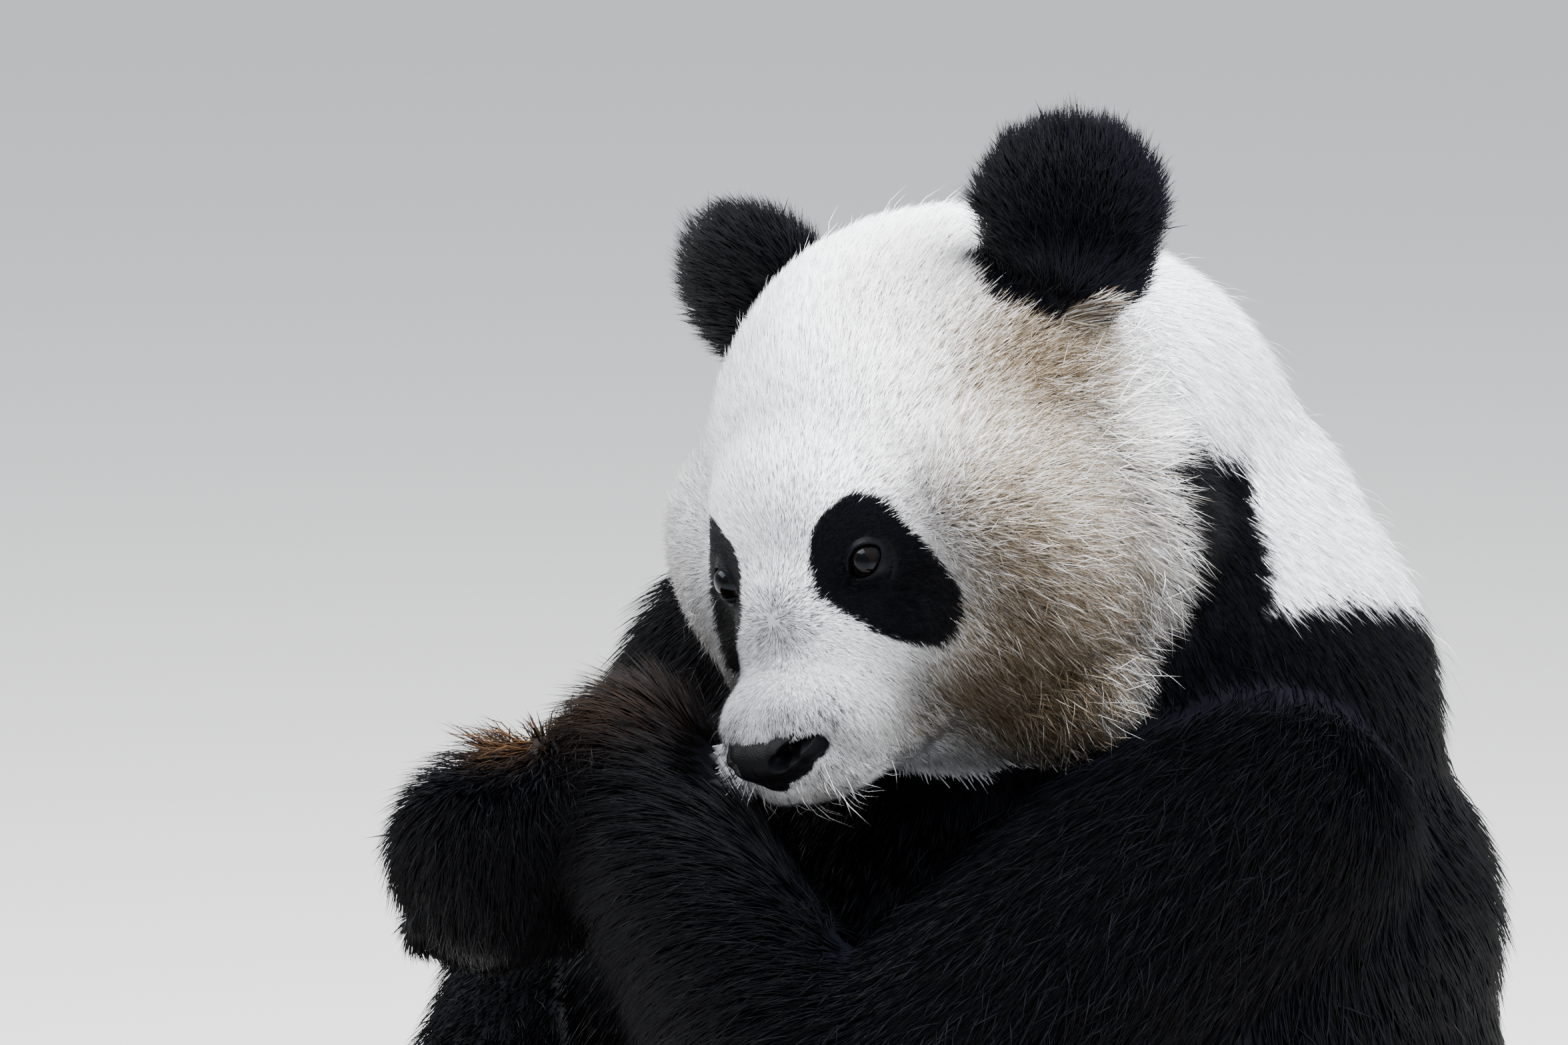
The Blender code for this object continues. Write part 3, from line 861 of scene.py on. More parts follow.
def sculpt_eyes(points):
    """Draw the skin up over each eyeball as two lids with a rim, and keep it clear inside the opening."""
    for name, side in SIDES:
        gaze = eye_frame(name, side)[0]
        height, off, place = eye_opening(points, name, side)
        close = (off < EYE_NEAR) & (height > -0.004)
        eyeball = np.sqrt(np.maximum(EYE_RADIUS**2 - off**2, 0.0))
        lid = np.sqrt(np.maximum((EYE_RADIUS + LID_THICKNESS) ** 2 - off**2, 0.0))
        lid = lid - 0.0011 * np.exp(-(((off - 0.0142) / 0.0016) ** 2))
        soft = 0.0022
        wanted = np.logaddexp(lid / soft, height / soft) * soft - soft * 0.15
        rim = ramp(0.90, 1.12, place)
        wanted = (eyeball - 0.0045) * (1 - rim) + wanted * rim
        change = (wanted - height) * ramp(0.026, 0.018, off)
        points[close] += change[close, None] * gaze
    return points


def sculpt_mouth(points, normals):
    """A narrow groove along the closed lips, and the upper lip's cleft below the nose."""
    local = mirrored_head(points)
    away = from_mouth(local)
    depth = 0.0050 * np.exp(-((away / 0.0022) ** 2)) - 0.0014 * np.exp(-(((away - 0.0065) / 0.0035) ** 2))
    cleft = 0.0022 * np.exp(-((local[:, 0] / 0.0016) ** 2)) * ramp(0.190, 0.200, local[:, 1])
    cleft *= ramp(-0.078, -0.086, local[:, 2]) * ramp(-0.108, -0.102, local[:, 2])
    return points - normals * (depth + cleft)[:, None]


def sculpt_nose(points, normals):
    """Sink the skin round the nose pad, and draw it back under the pad, clear of the nostrils."""
    gap = distance(points, NOSE_MASSES)
    local = mirrored_head(points)
    below = 0.45 + 0.55 * ramp(-0.052, -0.062, local[:, 2])
    around = 0.0030 * below * ramp(0.011, 0.002, gap) * ramp(-0.006, 0.0, gap)
    around += spots(local, ((0.0070, (0.047, 0.189, -0.084), 0.012), (0.0050, (0.042, 0.197, -0.070), 0.008)))
    under = 0.017 * ramp(0.0005, -0.0045, gap)
    return points - normals * around[:, None] - head_way(0.0, 1.0, 0.0) * under[:, None]


def sculpt_ears(points, shares):
    """Hollow the front of each ear a little."""
    for name, side in SIDES:
        axes = ear_axes(name, side)
        local = (points - on_head(EAR_PLACE[name])) @ axes.T
        dent = 0.0075 * np.exp(-(local[:, 0] ** 2 + (local[:, 2] + 0.004) ** 2) / (2 * 0.021**2))
        dent *= ramp(0.0, 0.008, local[:, 1]) * shares[:, PART["ear_" + name]]
        points = points - dent[:, None] * axes[1]
    return points


def build_skin(settings):
    """The whole skin in one mesh, finer on the face, and each vertex's shares of the parts."""
    forms = [inset_form(*form) for form in FORMS]
    tree = tree_of(np.concatenate([points for _, points, _ in forms]))
    labels = np.concatenate([part for _, _, part in forms])
    mesh = smoothed(joined([mesh for mesh, _, _ in forms]), 3, settings.voxel)
    points = coordinates(mesh)
    local = from_head(points)
    face = (local[:, 1] > 0.035) & (local[:, 2] > -0.150) & (local[:, 2] < 0.10)
    face &= distance(points, MASSES["head"]) > -0.03
    face &= distance(points, MASSES["arm_left"] + MASSES["hand_left"]) > 0.004
    refined(mesh, face)
    local = mirrored_head(coordinates(mesh))
    refined(mesh, (np.linalg.norm(local - EYE_PLACE, axis=1) < 0.034) | (from_mouth(local) < 0.012))
    local = mirrored_head(coordinates(mesh))
    refined(mesh, np.linalg.norm(local - EYE_PLACE, axis=1) < 0.024)
    points = coordinates(mesh)
    shares = np.zeros((len(points), len(PARTS)))
    shares[np.arange(len(points)), labels[found_in(tree, points)]] = 1.0
    shares = evened(shares, edges_of(mesh), 5)
    points = sculpt_mouth(points, normals_of(mesh))
    points = sculpt_nose(points, normals_of(mesh))
    points = sculpt_ears(points, shares)
    points = sculpt_eyes(points)
    set_coordinates(mesh, points)
    return mesh, shares


def dress_skin(mesh, shares):
    """Store the coat's measures, lie and markings on the skin, and each vertex's part."""
    points, normals, edges = coordinates(mesh), normals_of(mesh), edges_of(mesh)
    coat = evened(coat_at(points, shares), edges, 2)
    lie = flattened(evened(lie_at(points, normals, shares), edges, 10), normals)
    white, tan, rust = markings(points, shares)
    white *= 1 - 0.6 * grey_share(points)
    # Painted shade: the skin takes nearly the colour of a hair's root, for the shade in the gaps between hairs
    along, shade = np.full(len(points), 0.10), np.full(len(points), 0.5)
    set_attributes(mesh, coat=coat, lie=lie, white=white, tan=tan, rust=rust, along=along, shade=shade)
    bare = ramp(0.0030, 0.0012, from_mouth(mirrored_head(points)))
    bare = np.maximum(bare, ramp(0.0020, 0.0005, distance(points, NOSE_MASSES)))
    for name, side in SIDES:
        off = eye_opening(points, name, side)[1]
        bare = np.maximum(bare, ramp(0.0142, 0.0118, off) * by_eye(points, name))
    set_attributes(mesh, bare=bare, **{"part_" + name: shares[:, index] for index, name in enumerate(PARTS)})


# The solids that the skin stands for
FLESH = ["head", "ear_left", "ear_right", "neck", "chest", "belly", "tail"]
for _name, _ in SIDES:
    FLESH += [part + "_" + _name for part in ("upper_arm", "forearm", "hand", "thigh", "shin", "foot")]

# ---------------------------------------------------------------- materials


DEEP_STAIN_AND_SHADE = (0.30, 0.245, 0.17)  # stain with painted shade, as under the jaw: times the colour of the tan hair where its share is 2
ROOT_SHADE = (0.56, 0.55, 0.55)  # painted shade among the hairs: times the colour of pale hair at its root
BARE_SKIN = (0.0025, 0.0027, 0.0038)
NOSE_LEATHER = (0.0012, 0.0012, 0.0015)
SOLE_LEATHER = (0.008, 0.007, 0.007)
# Pale pink of the eye's inner corner, partly a painted glint of its wet skin
EYE_CORNER_AND_GLINT = (0.19, 0.13, 0.13)
HORN_ROOT = (0.045, 0.034, 0.027)
HORN_POINT = (0.30, 0.25, 0.19)


def node(tree, kind, place, **settings):
    """A new node at this place in the tree, with these settings."""
    made = tree.nodes.new(kind)
    made.location = place
    for name, value in settings.items():
        setattr(made, name, value)
    return made


def new_material(name):
    material = bpy.data.materials.new(name)
    material.use_nodes = True
    tree = material.node_tree
    shader = tree.nodes["Principled BSDF"]
    shader.location = (600, 0)
    tree.nodes["Material Output"].location = (900, 0)
    return material, tree, shader


def group(name, inputs, outputs):
    """A shader group with named sockets, and its input and output nodes."""
    tree = bpy.data.node_groups.new(name, "ShaderNodeTree")
    for socket, kind, default in inputs:
        made = tree.interface.new_socket(socket, in_out="INPUT", socket_type=kind)
        made.default_value = default
    for socket, kind in outputs:
        tree.interface.new_socket(socket, in_out="OUTPUT", socket_type=kind)
    return tree, node(tree, "NodeGroupInput", (-900, 0)), node(tree, "NodeGroupOutput", (900, 0))


def math(tree, operation, a, b, place, clamp=False):
    made = node(tree, "ShaderNodeMath", place, operation=operation, use_clamp=clamp)
    for socket, value in zip(made.inputs, (a, b)):
        if isinstance(value, (int, float)):
            socket.default_value = value
        else:
            tree.links.new(value, socket)
    return made.outputs[0]


def blend(tree, factor, a, b, place, mode="MIX"):
    made = node(tree, "ShaderNodeMix", place, data_type="RGBA", blend_type=mode)
    for socket, value in zip((made.inputs[0], made.inputs[6], made.inputs[7]), (factor, a, b)):
        if isinstance(value, (int, float)):
            socket.default_value = value
        elif isinstance(value, tuple):
            socket.default_value = (*value, 1.0)
        else:
            tree.links.new(value, socket)
    return made.outputs[2]


def reading(tree, name, place):
    """The node that reads this attribute of the mesh."""
    return node(tree, "ShaderNodeAttribute", place, attribute_name=name)


def noise(tree, vector, scale, detail, place):
    """Soft noise over these coordinates."""
    made = node(tree, "ShaderNodeTexNoise", place)
    made.inputs["Scale"].default_value = scale
    made.inputs["Detail"].default_value = detail
    tree.links.new(vector, made.inputs["Vector"])
    return made.outputs["Fac"]


def raise_relief(tree, shader, height, strength, distance):
    """Let the height stand out in the shader's relief."""
    bump = node(tree, "ShaderNodeBump", (350, -300))
    bump.inputs["Strength"].default_value = strength
    bump.inputs["Distance"].default_value = distance
    tree.links.new(height, bump.inputs["Height"])
    tree.links.new(bump.outputs["Normal"], shader.inputs["Normal"])


def set_shader(tree, shader, **values):
    """Give the shader's sockets, named with _ for a blank, a value each or a link."""
    for name, value in values.items():
        socket = shader.inputs[name.replace("_", " ")]
        if isinstance(value, bpy.types.NodeSocket):
            tree.links.new(value, socket)
        else:
            socket.default_value = value


def coat_group(settings):
    """Colour, roughness and height of hair: white, tan, rust or black, by its place along the hair, with painted shade
    towards the root and in the deepest tan.
    """
    if "Coat colour" in bpy.data.node_groups:
        return bpy.data.node_groups["Coat colour"]
    inputs = [(name, "NodeSocketFloat", 0.0) for name in ("White", "Tan", "Rust")]
    inputs += [(name, "NodeSocketFloat", 0.5) for name in ("Along", "Shade", "Strand")]
    for kind in ("White", "Tan", "Black", "Rust"):
        inputs.append((kind + " hair", "NodeSocketColor", (*getattr(settings, kind.lower()), 1.0)))
    outputs = [("Colour", "NodeSocketColor"), ("Roughness", "NodeSocketFloat"), ("Height", "NodeSocketFloat")]
    tree, given, put = group("Coat colour", inputs, outputs)
    out = given.outputs
    pale = blend(tree, out["Tan"], out["White hair"], out["Tan hair"], (-600, 300))
    # Painted shade: where the tan share passes 1, as under the jaw, the hair darkens further
    deep = math(tree, "SUBTRACT", out["Tan"], 1.0, (-800, 150), clamp=True)
    pale = blend(tree, deep, pale, DEEP_STAIN_AND_SHADE, (-500, 200), "MULTIPLY")
    # Painted shade: pale hair darkens towards its root
    root = blend(tree, 1.0, pale, ROOT_SHADE, (-400, 400), "MULTIPLY")
    pale = blend(tree, out["Along"], root, pale, (-200, 350))
    rusty = math(tree, "MULTIPLY", out["Rust"], out["Along"], (-600, -100), clamp=True)
    dark = blend(tree, rusty, out["Black hair"], out["Rust hair"], (-400, -50))
    colour = blend(tree, out["White"], dark, pale, (0, 200))
    swing = math(tree, "SUBTRACT", out["Shade"], 0.5, (-400, -300))
    strand = math(tree, "SUBTRACT", out["Strand"], 0.5, (-400, -450))
    strand = math(tree, "MULTIPLY", strand, 0.9, (-200, -450))
    swing = math(tree, "ADD", swing, strand, (-200, -300))
    quiet = math(tree, "MULTIPLY", out["White"], -0.25, (-200, -600))
    quiet = math(tree, "ADD", quiet, 0.95, (0, -600))
    swing = math(tree, "MULTIPLY", swing, quiet, (0, -300))
    gain = math(tree, "ADD", swing, 1.0, (200, -300))
    colour = blend(tree, 1.0, colour, gain, (400, 200), "MULTIPLY")
    rough = math(tree, "MULTIPLY", out["White"], 0.26, (200, -500))
    rough = math(tree, "ADD", rough, 0.42, (400, -500))
    tree.links.new(colour, put.inputs["Colour"])
    tree.links.new(rough, put.inputs["Roughness"])
    tree.links.new(out["Strand"], put.inputs["Height"])
    return tree


def hair_colour(tree, settings, strand):
    """The coat's colours, read from the mesh, with these strands."""
    hair = node(tree, "ShaderNodeGroup", (0, 0), node_tree=coat_group(settings))
    for index, name in enumerate(("White", "Tan", "Rust", "Along", "Shade")):
        source = reading(tree, name.lower(), (-650, 400 - 140 * index))
        tree.links.new(source.outputs["Fac"], hair.inputs[name])
    tree.links.new(strand, hair.inputs["Strand"])
    return hair.outputs


def coat_material(settings):
    """Hair of the coat. Fine strands run along each tuft, by its own strand measures."""
    material, tree, shader = new_material("coat_hair")
    strand = reading(tree, "strand", (-900, -300)).outputs["Vector"]
    hair = hair_colour(tree, settings, noise(tree, strand, 1.0, 2.0, (-650, -300)))
    raise_relief(tree, shader, hair["Height"], 0.5, 0.0003)
    set_shader(tree, shader, Base_Color=hair["Colour"], Roughness=hair["Roughness"], Specular_IOR_Level=0.10)
    return material


def skin_material(settings):
    """Skin under the coat: the coat's own markings with the painted shade of the hair's roots and short hair in
    relief, bare and dark at the lids and lips.
    """
    material, tree, shader = new_material("skin")
    place = node(tree, "ShaderNodeTexCoord", (-1100, -300)).outputs["Object"]
    grain = noise(tree, place, 900.0, 3.0, (-650, -300))
    hair = hair_colour(tree, settings, grain)
    bare = reading(tree, "bare", (-650, -600)).outputs["Fac"]
    colour = blend(tree, bare, hair["Colour"], BARE_SKIN, (300, 100))
    wet = math(tree, "MULTIPLY", bare, -0.12, (100, -300))
    rough = math(tree, "ADD", hair["Roughness"], wet, (300, -200))
    raise_relief(tree, shader, grain, 0.5, 0.0006)
    set_shader(tree, shader, Base_Color=colour, Roughness=rough, Specular_IOR_Level=0.06)
    return material


def leather_group():
    """Small raised cells, as on a nose pad or sole."""
    if "Pad leather" in bpy.data.node_groups:
        return bpy.data.node_groups["Pad leather"]
    tree, given, put = group(
        "Pad leather",
        [("Scale", "NodeSocketFloat", 900.0), ("Colour", "NodeSocketColor", (0.01, 0.01, 0.011, 1.0))],
        [("Colour", "NodeSocketColor"), ("Height", "NodeSocketFloat"), ("Roughness", "NodeSocketFloat")],
    )
    place = node(tree, "ShaderNodeTexCoord", (-900, -300)).outputs["Object"]
    cells = node(tree, "ShaderNodeTexVoronoi", (-600, -200), feature="SMOOTH_F1")
    tree.links.new(place, cells.inputs["Vector"])
    tree.links.new(given.outputs["Scale"], cells.inputs["Scale"])
    cloud = noise(tree, place, 120.0, 2.0, (-600, -500))
    dome = math(tree, "MULTIPLY", cells.outputs["Distance"], -1.0, (-300, -200))
    dome = math(tree, "ADD", dome, 1.0, (-100, -200))
    light = blend(tree, 1.0, given.outputs["Colour"], (2.0, 2.0, 2.1), (-100, 200), "MULTIPLY")
    colour = blend(tree, cloud, given.outputs["Colour"], light, (200, 200))
    rough = math(tree, "MULTIPLY", cloud, 0.25, (0, -500))
    rough = math(tree, "ADD", rough, 0.30, (200, -500))
    tree.links.new(colour, put.inputs["Colour"])
    tree.links.new(dome, put.inputs["Height"])
    tree.links.new(rough, put.inputs["Roughness"])
    return tree


def leather_material(name, scale, colour):
    """Leather of this colour, with cells of this scale."""
    material, tree, shader = new_material(name)
    leather = node(tree, "ShaderNodeGroup", (100, 0), node_tree=leather_group())
    leather.inputs["Scale"].default_value = scale
    leather.inputs["Colour"].default_value = (*colour, 1.0)
    out = leather.outputs
    raise_relief(tree, shader, out["Height"], 0.6, 0.0005)
    set_shader(tree, shader, Base_Color=out["Colour"], Roughness=out["Roughness"], Specular_IOR_Level=0.05)
    return material


def eye_material(settings):
    """Brown iris with fine spokes, black pupil, dark rim and a pale reddish inner corner, partly a painted glint of
    its wet skin, under a wet surface.
    """
    material, tree, shader = new_material("eye_glass")
    polar = reading(tree, "polar", (-1100, 100)).outputs["Fac"]
    spoke = reading(tree, "spoke", (-1100, -200)).outputs["Vector"]
    corner = reading(tree, "corner", (-600, 400)).outputs["Fac"]
    iris = node(tree, "ShaderNodeValToRGB", (-600, 100))
    stops = iris.color_ramp.elements
    pupil, rim, edge = (0.001, 0.001, 0.001), (0.002, 0.0018, 0.0018), (0.0045, 0.0032, 0.0030)
    stops[0].position, stops[0].color = 0.30, (*pupil, 1.0)
    stops[1].position, stops[1].color = 0.36, (*settings.iris, 1.0)
    for place, colour in ((0.58, settings.iris), (0.68, rim), (0.90, edge)):
        stops.new(place).color = (*colour, 1.0)
    tree.links.new(polar, iris.inputs["Fac"])
    gain = math(tree, "MULTIPLY", noise(tree, spoke, 7.0, 3.0, (-850, -200)), 1.6, (-600, -200))
    colour = blend(tree, 1.0, iris.outputs["Color"], gain, (-200, 100), "MULTIPLY")
    # The inner corner's pale reddish colour is partly a painted glint
    colour = blend(tree, corner, colour, EYE_CORNER_AND_GLINT, (100, 200))
    set_shader(tree, shader, Base_Color=colour, Roughness=0.04, Specular_IOR_Level=0.13)
    set_shader(tree, shader, Specular_Tint=(0.70, 0.82, 1.0, 1.0))
    return material


def claw_material():
    """Horn: dark at the root, paler and worn at the point, with streaks along it."""
    material, tree, shader = new_material("claw_horn")
    along = reading(tree, "along", (-900, 100)).outputs["Fac"]
    streak = reading(tree, "streak", (-900, -200)).outputs["Vector"]
    grain = noise(tree, streak, 1.0, 4.0, (-650, -200))
    colour = blend(tree, along, HORN_ROOT, HORN_POINT, (-300, 100))
    gain = math(tree, "MULTIPLY", grain, 1.9, (-300, -200))
    colour = blend(tree, 1.0, colour, gain, (0, 100), "MULTIPLY")
    raise_relief(tree, shader, grain, 0.3, 0.0003)
    set_shader(tree, shader, Base_Color=colour, Roughness=0.32)
    return material


# ---------------------------------------------------------------- tufts

# Corners of a tuft's faces. A straight tuft has a ring of three and its tip, and a bent one has two rings and its tip.
# fmt: off
STRAIGHT = np.array([(0, 2, 3), (2, 1, 3), (1, 0, 3), (0, 1, 2)])
BENT = np.array([
    (0, 2, 5), (0, 5, 3), (2, 1, 4), (2, 4, 5), (1, 0, 3), (1, 3, 4), (3, 5, 6), (5, 4, 6), (4, 3, 6), (0, 1, 2),
])
# fmt: on
PATCH = 0.0030  # width of a tuft's patch on its map
LOOSE = {"longer": 1.12, "thinner": 0.75, "gather": 0.25}  # how the bent tufts differ from the straight ones
CALM = 0.16  # how far, in radians, tufts turn from the lie
SUNK = 0.0003  # how deep a root is set in the skin
BARE_FLOOR = 0.0065  # no tuft grows lower than this


class Ground:
    """A region of the skin that tufts grow from, with its own unwrap."""

    def __init__(self, skin, wanted):
        mesh = skin.data.copy()
        bm = bmesh.new()
        bm.from_mesh(mesh)
        bm.faces.ensure_lookup_table()
        inside = np.array([wanted[face.verts[0].index] for face in bm.faces])
        bmesh.ops.delete(bm, geom=[bm.faces[i] for i in np.flatnonzero(~inside)], context="FACES")
        bm.to_mesh(mesh)
        bm.free()
        # The unwrap's operator wants an object in edit mode
        obj = bpy.data.objects.new("ground", mesh)
        bpy.context.scene.collection.objects.link(obj)
        bpy.context.view_layer.objects.active = obj
        obj.select_set(True)
        bpy.ops.object.mode_set(mode="EDIT")
        bpy.ops.mesh.select_all(action="SELECT")
        bpy.ops.uv.smart_project(angle_limit=radians(66), island_margin=0.002)
        bpy.ops.object.mode_set(mode="OBJECT")
        mesh = obj.data
        self.points = coordinates(mesh) - SHIFT
        self.normals = normals_of(mesh)
        self.fields = {name: get_attribute(mesh, name) for name in ("coat", "lie", "bare")}
        self.shares = shares_of(mesh)
        mesh.calc_loop_triangles()
        count = len(mesh.loop_triangles)
        self.corners = np.empty(count * 3, dtype=np.int32)
        mesh.loop_triangles.foreach_get("vertices", self.corners)
        self.corners = self.corners.reshape(-1, 3)
        loops = np.empty(count * 3, dtype=np.int32)
        mesh.loop_triangles.foreach_get("loops", loops)
        flat = np.empty(len(mesh.loops) * 2)
        mesh.uv_layers.active.data.foreach_get("uv", flat)
        self.map = flat.reshape(-1, 2)[loops.reshape(-1, 3)]
        sides = self.points[self.corners]
        self.area = np.linalg.norm(np.cross(sides[:, 1] - sides[:, 0], sides[:, 2] - sides[:, 0]), axis=1) / 2
        bpy.data.objects.remove(obj)
        bpy.data.meshes.remove(mesh)

    def sow(self, count, random):
        """About so many roots, evenly strewn, closer where the hair is finer and shorter."""
        coat = self.fields["coat"][self.corners].mean(1)
        weight = self.area / (coat[:, 0] * coat[:, 2])
        total = np.cumsum(weight)
        marks = (np.arange(count) + random.random(count)) / count * total[-1]
        chosen = np.minimum(np.searchsorted(total, marks), len(total) - 1)
        a, b = random.random((2, count))
        flip = a + b > 1
        a[flip], b[flip] = 1 - a[flip], 1 - b[flip]
        share = np.stack([1 - a - b, a, b], 1)[:, :, None]
        corners = self.corners[chosen]

        def at(values):
            return (values[corners] * share).sum(1)

        return Roots(
            points=at(self.points),
            normals=unit(at(self.normals)),
            lie=unit(at(self.fields["lie"])),
            coat=at(self.fields["coat"]),
            bare=at(self.fields["bare"][:, None])[:, 0],
            shares=at(self.shares),
            map=(self.map[chosen] * share).sum(1),
            dark=np.zeros(count, dtype=bool),
        )


class Roots:
    """Where tufts grow, and what the skin says there."""

    def __init__(self, **fields):
        self.__dict__.update(fields)

    def kept(self, keep):
        return Roots(**{name: values[keep] for name, values in self.__dict__.items()})

    def __len__(self):
        return len(self.points)


def clear_of_bare(roots):
    """Which roots lie off the lids, lips, nose pad, sole pads and claws."""
    keep = (roots.bare < 0.5) | (distance(roots.points, NOSE_MASSES) < 0.0020)
    keep &= distance(roots.points, NOSE_MASSES) > -0.0004
    for name, side in SIDES:
        keep &= (eye_opening(roots.points, name, side)[2] > 1.18) | ~by_eye(roots.points, name)
    for paw in PAWS.values():
        keep &= distance(roots.points, pad_masses(paw)) > -0.001
    return keep & (roots.points[:, 2] > BARE_FLOOR)


def clumped(roots, tips, random, gather, every):
    """Draw the tips of neighbouring tufts together into locks, one lock for every so many tufts."""
    count = len(roots)
    leaders = random.choice(count, max(count // every, 1), replace=False)
    nearest = leaders[found_in(tree_of(roots.points[leaders]), roots.points)]
    aim = tips[nearest] + 0.30 * (roots.points - roots.points[nearest])
    pull = gather * random.uniform(0.4, 1.0, count)[:, None]
    return tips + (aim - tips) * pull, nearest


def tuft_rings(lines, normals, width, bent):
    """The corners of every tuft, from its root to its tip."""
    start, middle, tips = lines

    def ring(centre, way, size):
        side = unit(np.cross(way, normals))
        over = np.cross(side, way)
        half, tall = (size / 2)[:, None], (size * 0.30)[:, None]
        low = over * tall * 0.4
        return [centre - side * half - low, centre + side * half - low, centre + over * tall]

    whole = unit(tips - start)
    if bent:
        rings = ring(start, unit(middle - start), width * 0.85) + ring(middle, whole, width)
    else:
        rings = ring(start, whole, width)
    corners = np.stack([*rings, tips], 1)
    corners[:, :, 2] = np.maximum(corners[:, :, 2], 0.0008)
    return corners


def mesh_from(name, points, corners):
    """A mesh of triangles, each three of the points' numbers."""
    mesh = bpy.data.meshes.new(name)
    mesh.vertices.add(len(points))
    mesh.vertices.foreach_set("co", points.astype(np.float32).ravel())
    mesh.loops.add(corners.size)
    mesh.loops.foreach_set("vertex_index", corners.astype(np.int32).ravel())
    mesh.polygons.add(len(corners))
    mesh.polygons.foreach_set("loop_start", np.arange(0, corners.size, 3, dtype=np.int32))
    mesh.update(calc_edges=True)
    return mesh


def tuft_mesh(name, roots, settings, random, bent, ways):
    """One solid tuft at every root: three-sided, pointed, and bent once where bent says so.

    The ways: gather, how far the tips of a lock draw together; every, the number of tufts in a lock; wild, how far
    tufts turn from the lie; spread, how much their lengths differ; and longer, thinner and lifted, as shares.
    """
    ways = {"gather": 0.5, "every": 7, "wild": CALM, "spread": 0.22, "longer": 1, "thinner": 1, "lifted": 1, **ways}
    count = len(roots)
    points, normals, lie = roots.points, roots.normals, roots.lie
    length, lift, width = roots.coat.T
    length = length * settings.length * ways["longer"] * random.uniform(1 - ways["spread"], 1 + ways["spread"], count)
    width = width * settings.thickness * ways["thinner"] * random.uniform(0.75, 1.25, count)
    lift = np.radians(lift * ways["lifted"] * random.uniform(0.55, 1.45, count))
    across = np.cross(normals, lie)
    turn = random.normal(0.0, ways["wild"], count)
    lie = unit(lie * np.cos(turn)[:, None] + across * np.sin(turn)[:, None])
    first = lie * np.cos(lift)[:, None] + normals * np.sin(lift)[:, None]
    later = lift * (1.0 - CURL)
    second = lie * np.cos(later)[:, None] + normals * np.sin(later)[:, None]
    start = points - normals * (SUNK + length * 0.02)[:, None]
    free_tips = start + (first + second) * (length / 2)[:, None]
    tips, nearest = clumped(roots, free_tips, random, ways["gather"], ways["every"])
    middle = start + first * (length / 2)[:, None] + (tips - free_tips) * 0.35
    floor = 0.0015 + random.random(count) * 0.002
    for line in (tips, middle, start):
        line[:, 2] = np.maximum(line[:, 2], floor)
    verts = tuft_rings((start, middle, tips), normals, width, bent)
    if bent:
        faces, along = BENT, row(0, 0, 0, 0.5, 0.5, 0.5, 1)
        sideways, steps = row(-1, 1, 0, -1, 1, 0, 0), row(-1, -1, -1, 0, 0, 0, 1)
    else:
        faces, along = STRAIGHT, row(0, 0, 0, 1)
        sideways, steps = row(-1, 1, 0, 0), row(-1, -1, -1, 1)
    per = len(along)
    corners = (faces[None] + np.arange(count)[:, None, None] * per).reshape(-1, 3)
    mesh = mesh_from(name, verts.reshape(-1, 3), corners)
    seen = random.normal(0.55, 0.22, count)[:, None] * (tips - points)
    white, tan, rust = markings(points + seen, roots.shares)
    white = (white > random.uniform(0.25, 0.75, count)).astype(float)
    white[roots.dark] = 0.0
    grey = random.random(count) < grey_share(points)
    white[grey] *= random.uniform(0.0, 0.5, count)[grey]
    shade = np.clip(0.5 + random.normal(0.0, 0.16, count), 0, 1) * 0.6 + 0.4 * random.random(count)[nearest]
    tan = np.clip(tan * random.uniform(0.4, 1.4, count), 0, 2)
    rust = np.clip(rust * random.uniform(0.2, 1.5, count), 0, 1)
    # Long hair starts partway along its colour, so less of the root's painted shade shows on it
    lit = 0.72 * ramp(0.009, 0.030, roots.coat[:, 0])[:, None]
    strand = np.empty((count, per, 3))
    strand[:, :, 0] = sideways * (width * 1100)[:, None] + (random.random(count) * 900)[:, None]
    strand[:, :, 1] = along * (length * 45)[:, None]
    strand[:, :, 2] = (random.random(count) * 900)[:, None]
    each = {"white": white, "tan": tan, "rust": rust, "shade": shade}
    set_attributes(mesh, **{key: np.repeat(values, per) for key, values in each.items()})
    set_attributes(mesh, along=(lit + (1 - lit) * along).ravel(), strand=strand.reshape(-1, 3))
    spot = np.stack([sideways, steps], 1)[None] * (PATCH / 2) + roots.map[:, None, :]
    layer = mesh.uv_layers.new(name="OFBake")
    layer.data.foreach_set("uv", spot.reshape(-1, 2)[corners.ravel()].astype(np.float32).ravel())
    return mesh


def ground_of(chosen):
    """The chosen region of the skin, as ground for tufts."""
    skin = bpy.data.objects["skin"]
    return Ground(skin, chosen(coordinates(skin.data) - SHIFT, shares_of(skin.data).argmax(1)))


def grow(name, slot, chosen, straight, bent, seed, settings, **ways):
    """A coat piece: straight and bent tufts on the chosen part of the skin."""
    ground = ground_of(chosen)
    random = np.random.default_rng(seed)
    meshes = []
    loose = {**LOOSE, **ways, "wild": ways["wild"] * 2, "gather": LOOSE["gather"]}
    for count, is_bent, how in ((straight, False, ways), (bent, True, loose)):
        if count:
            roots = ground.sow(int(count * settings.density), random)
            roots = roots.kept(clear_of_bare(roots))
            meshes.append(tuft_mesh(name, roots, settings, random, is_bent, how))
    mesh = joined(meshes) if len(meshes) > 1 else meshes[0]
    mesh.materials.append(bpy.data.materials.get("coat_hair") or coat_material(settings))
    new_piece(name, mesh)


CROWN_HEIGHT = 0.055  # on the head, where the crown passes into the cheeks
# Each region says which points of the skin are in it, from their places and the numbers of their parts


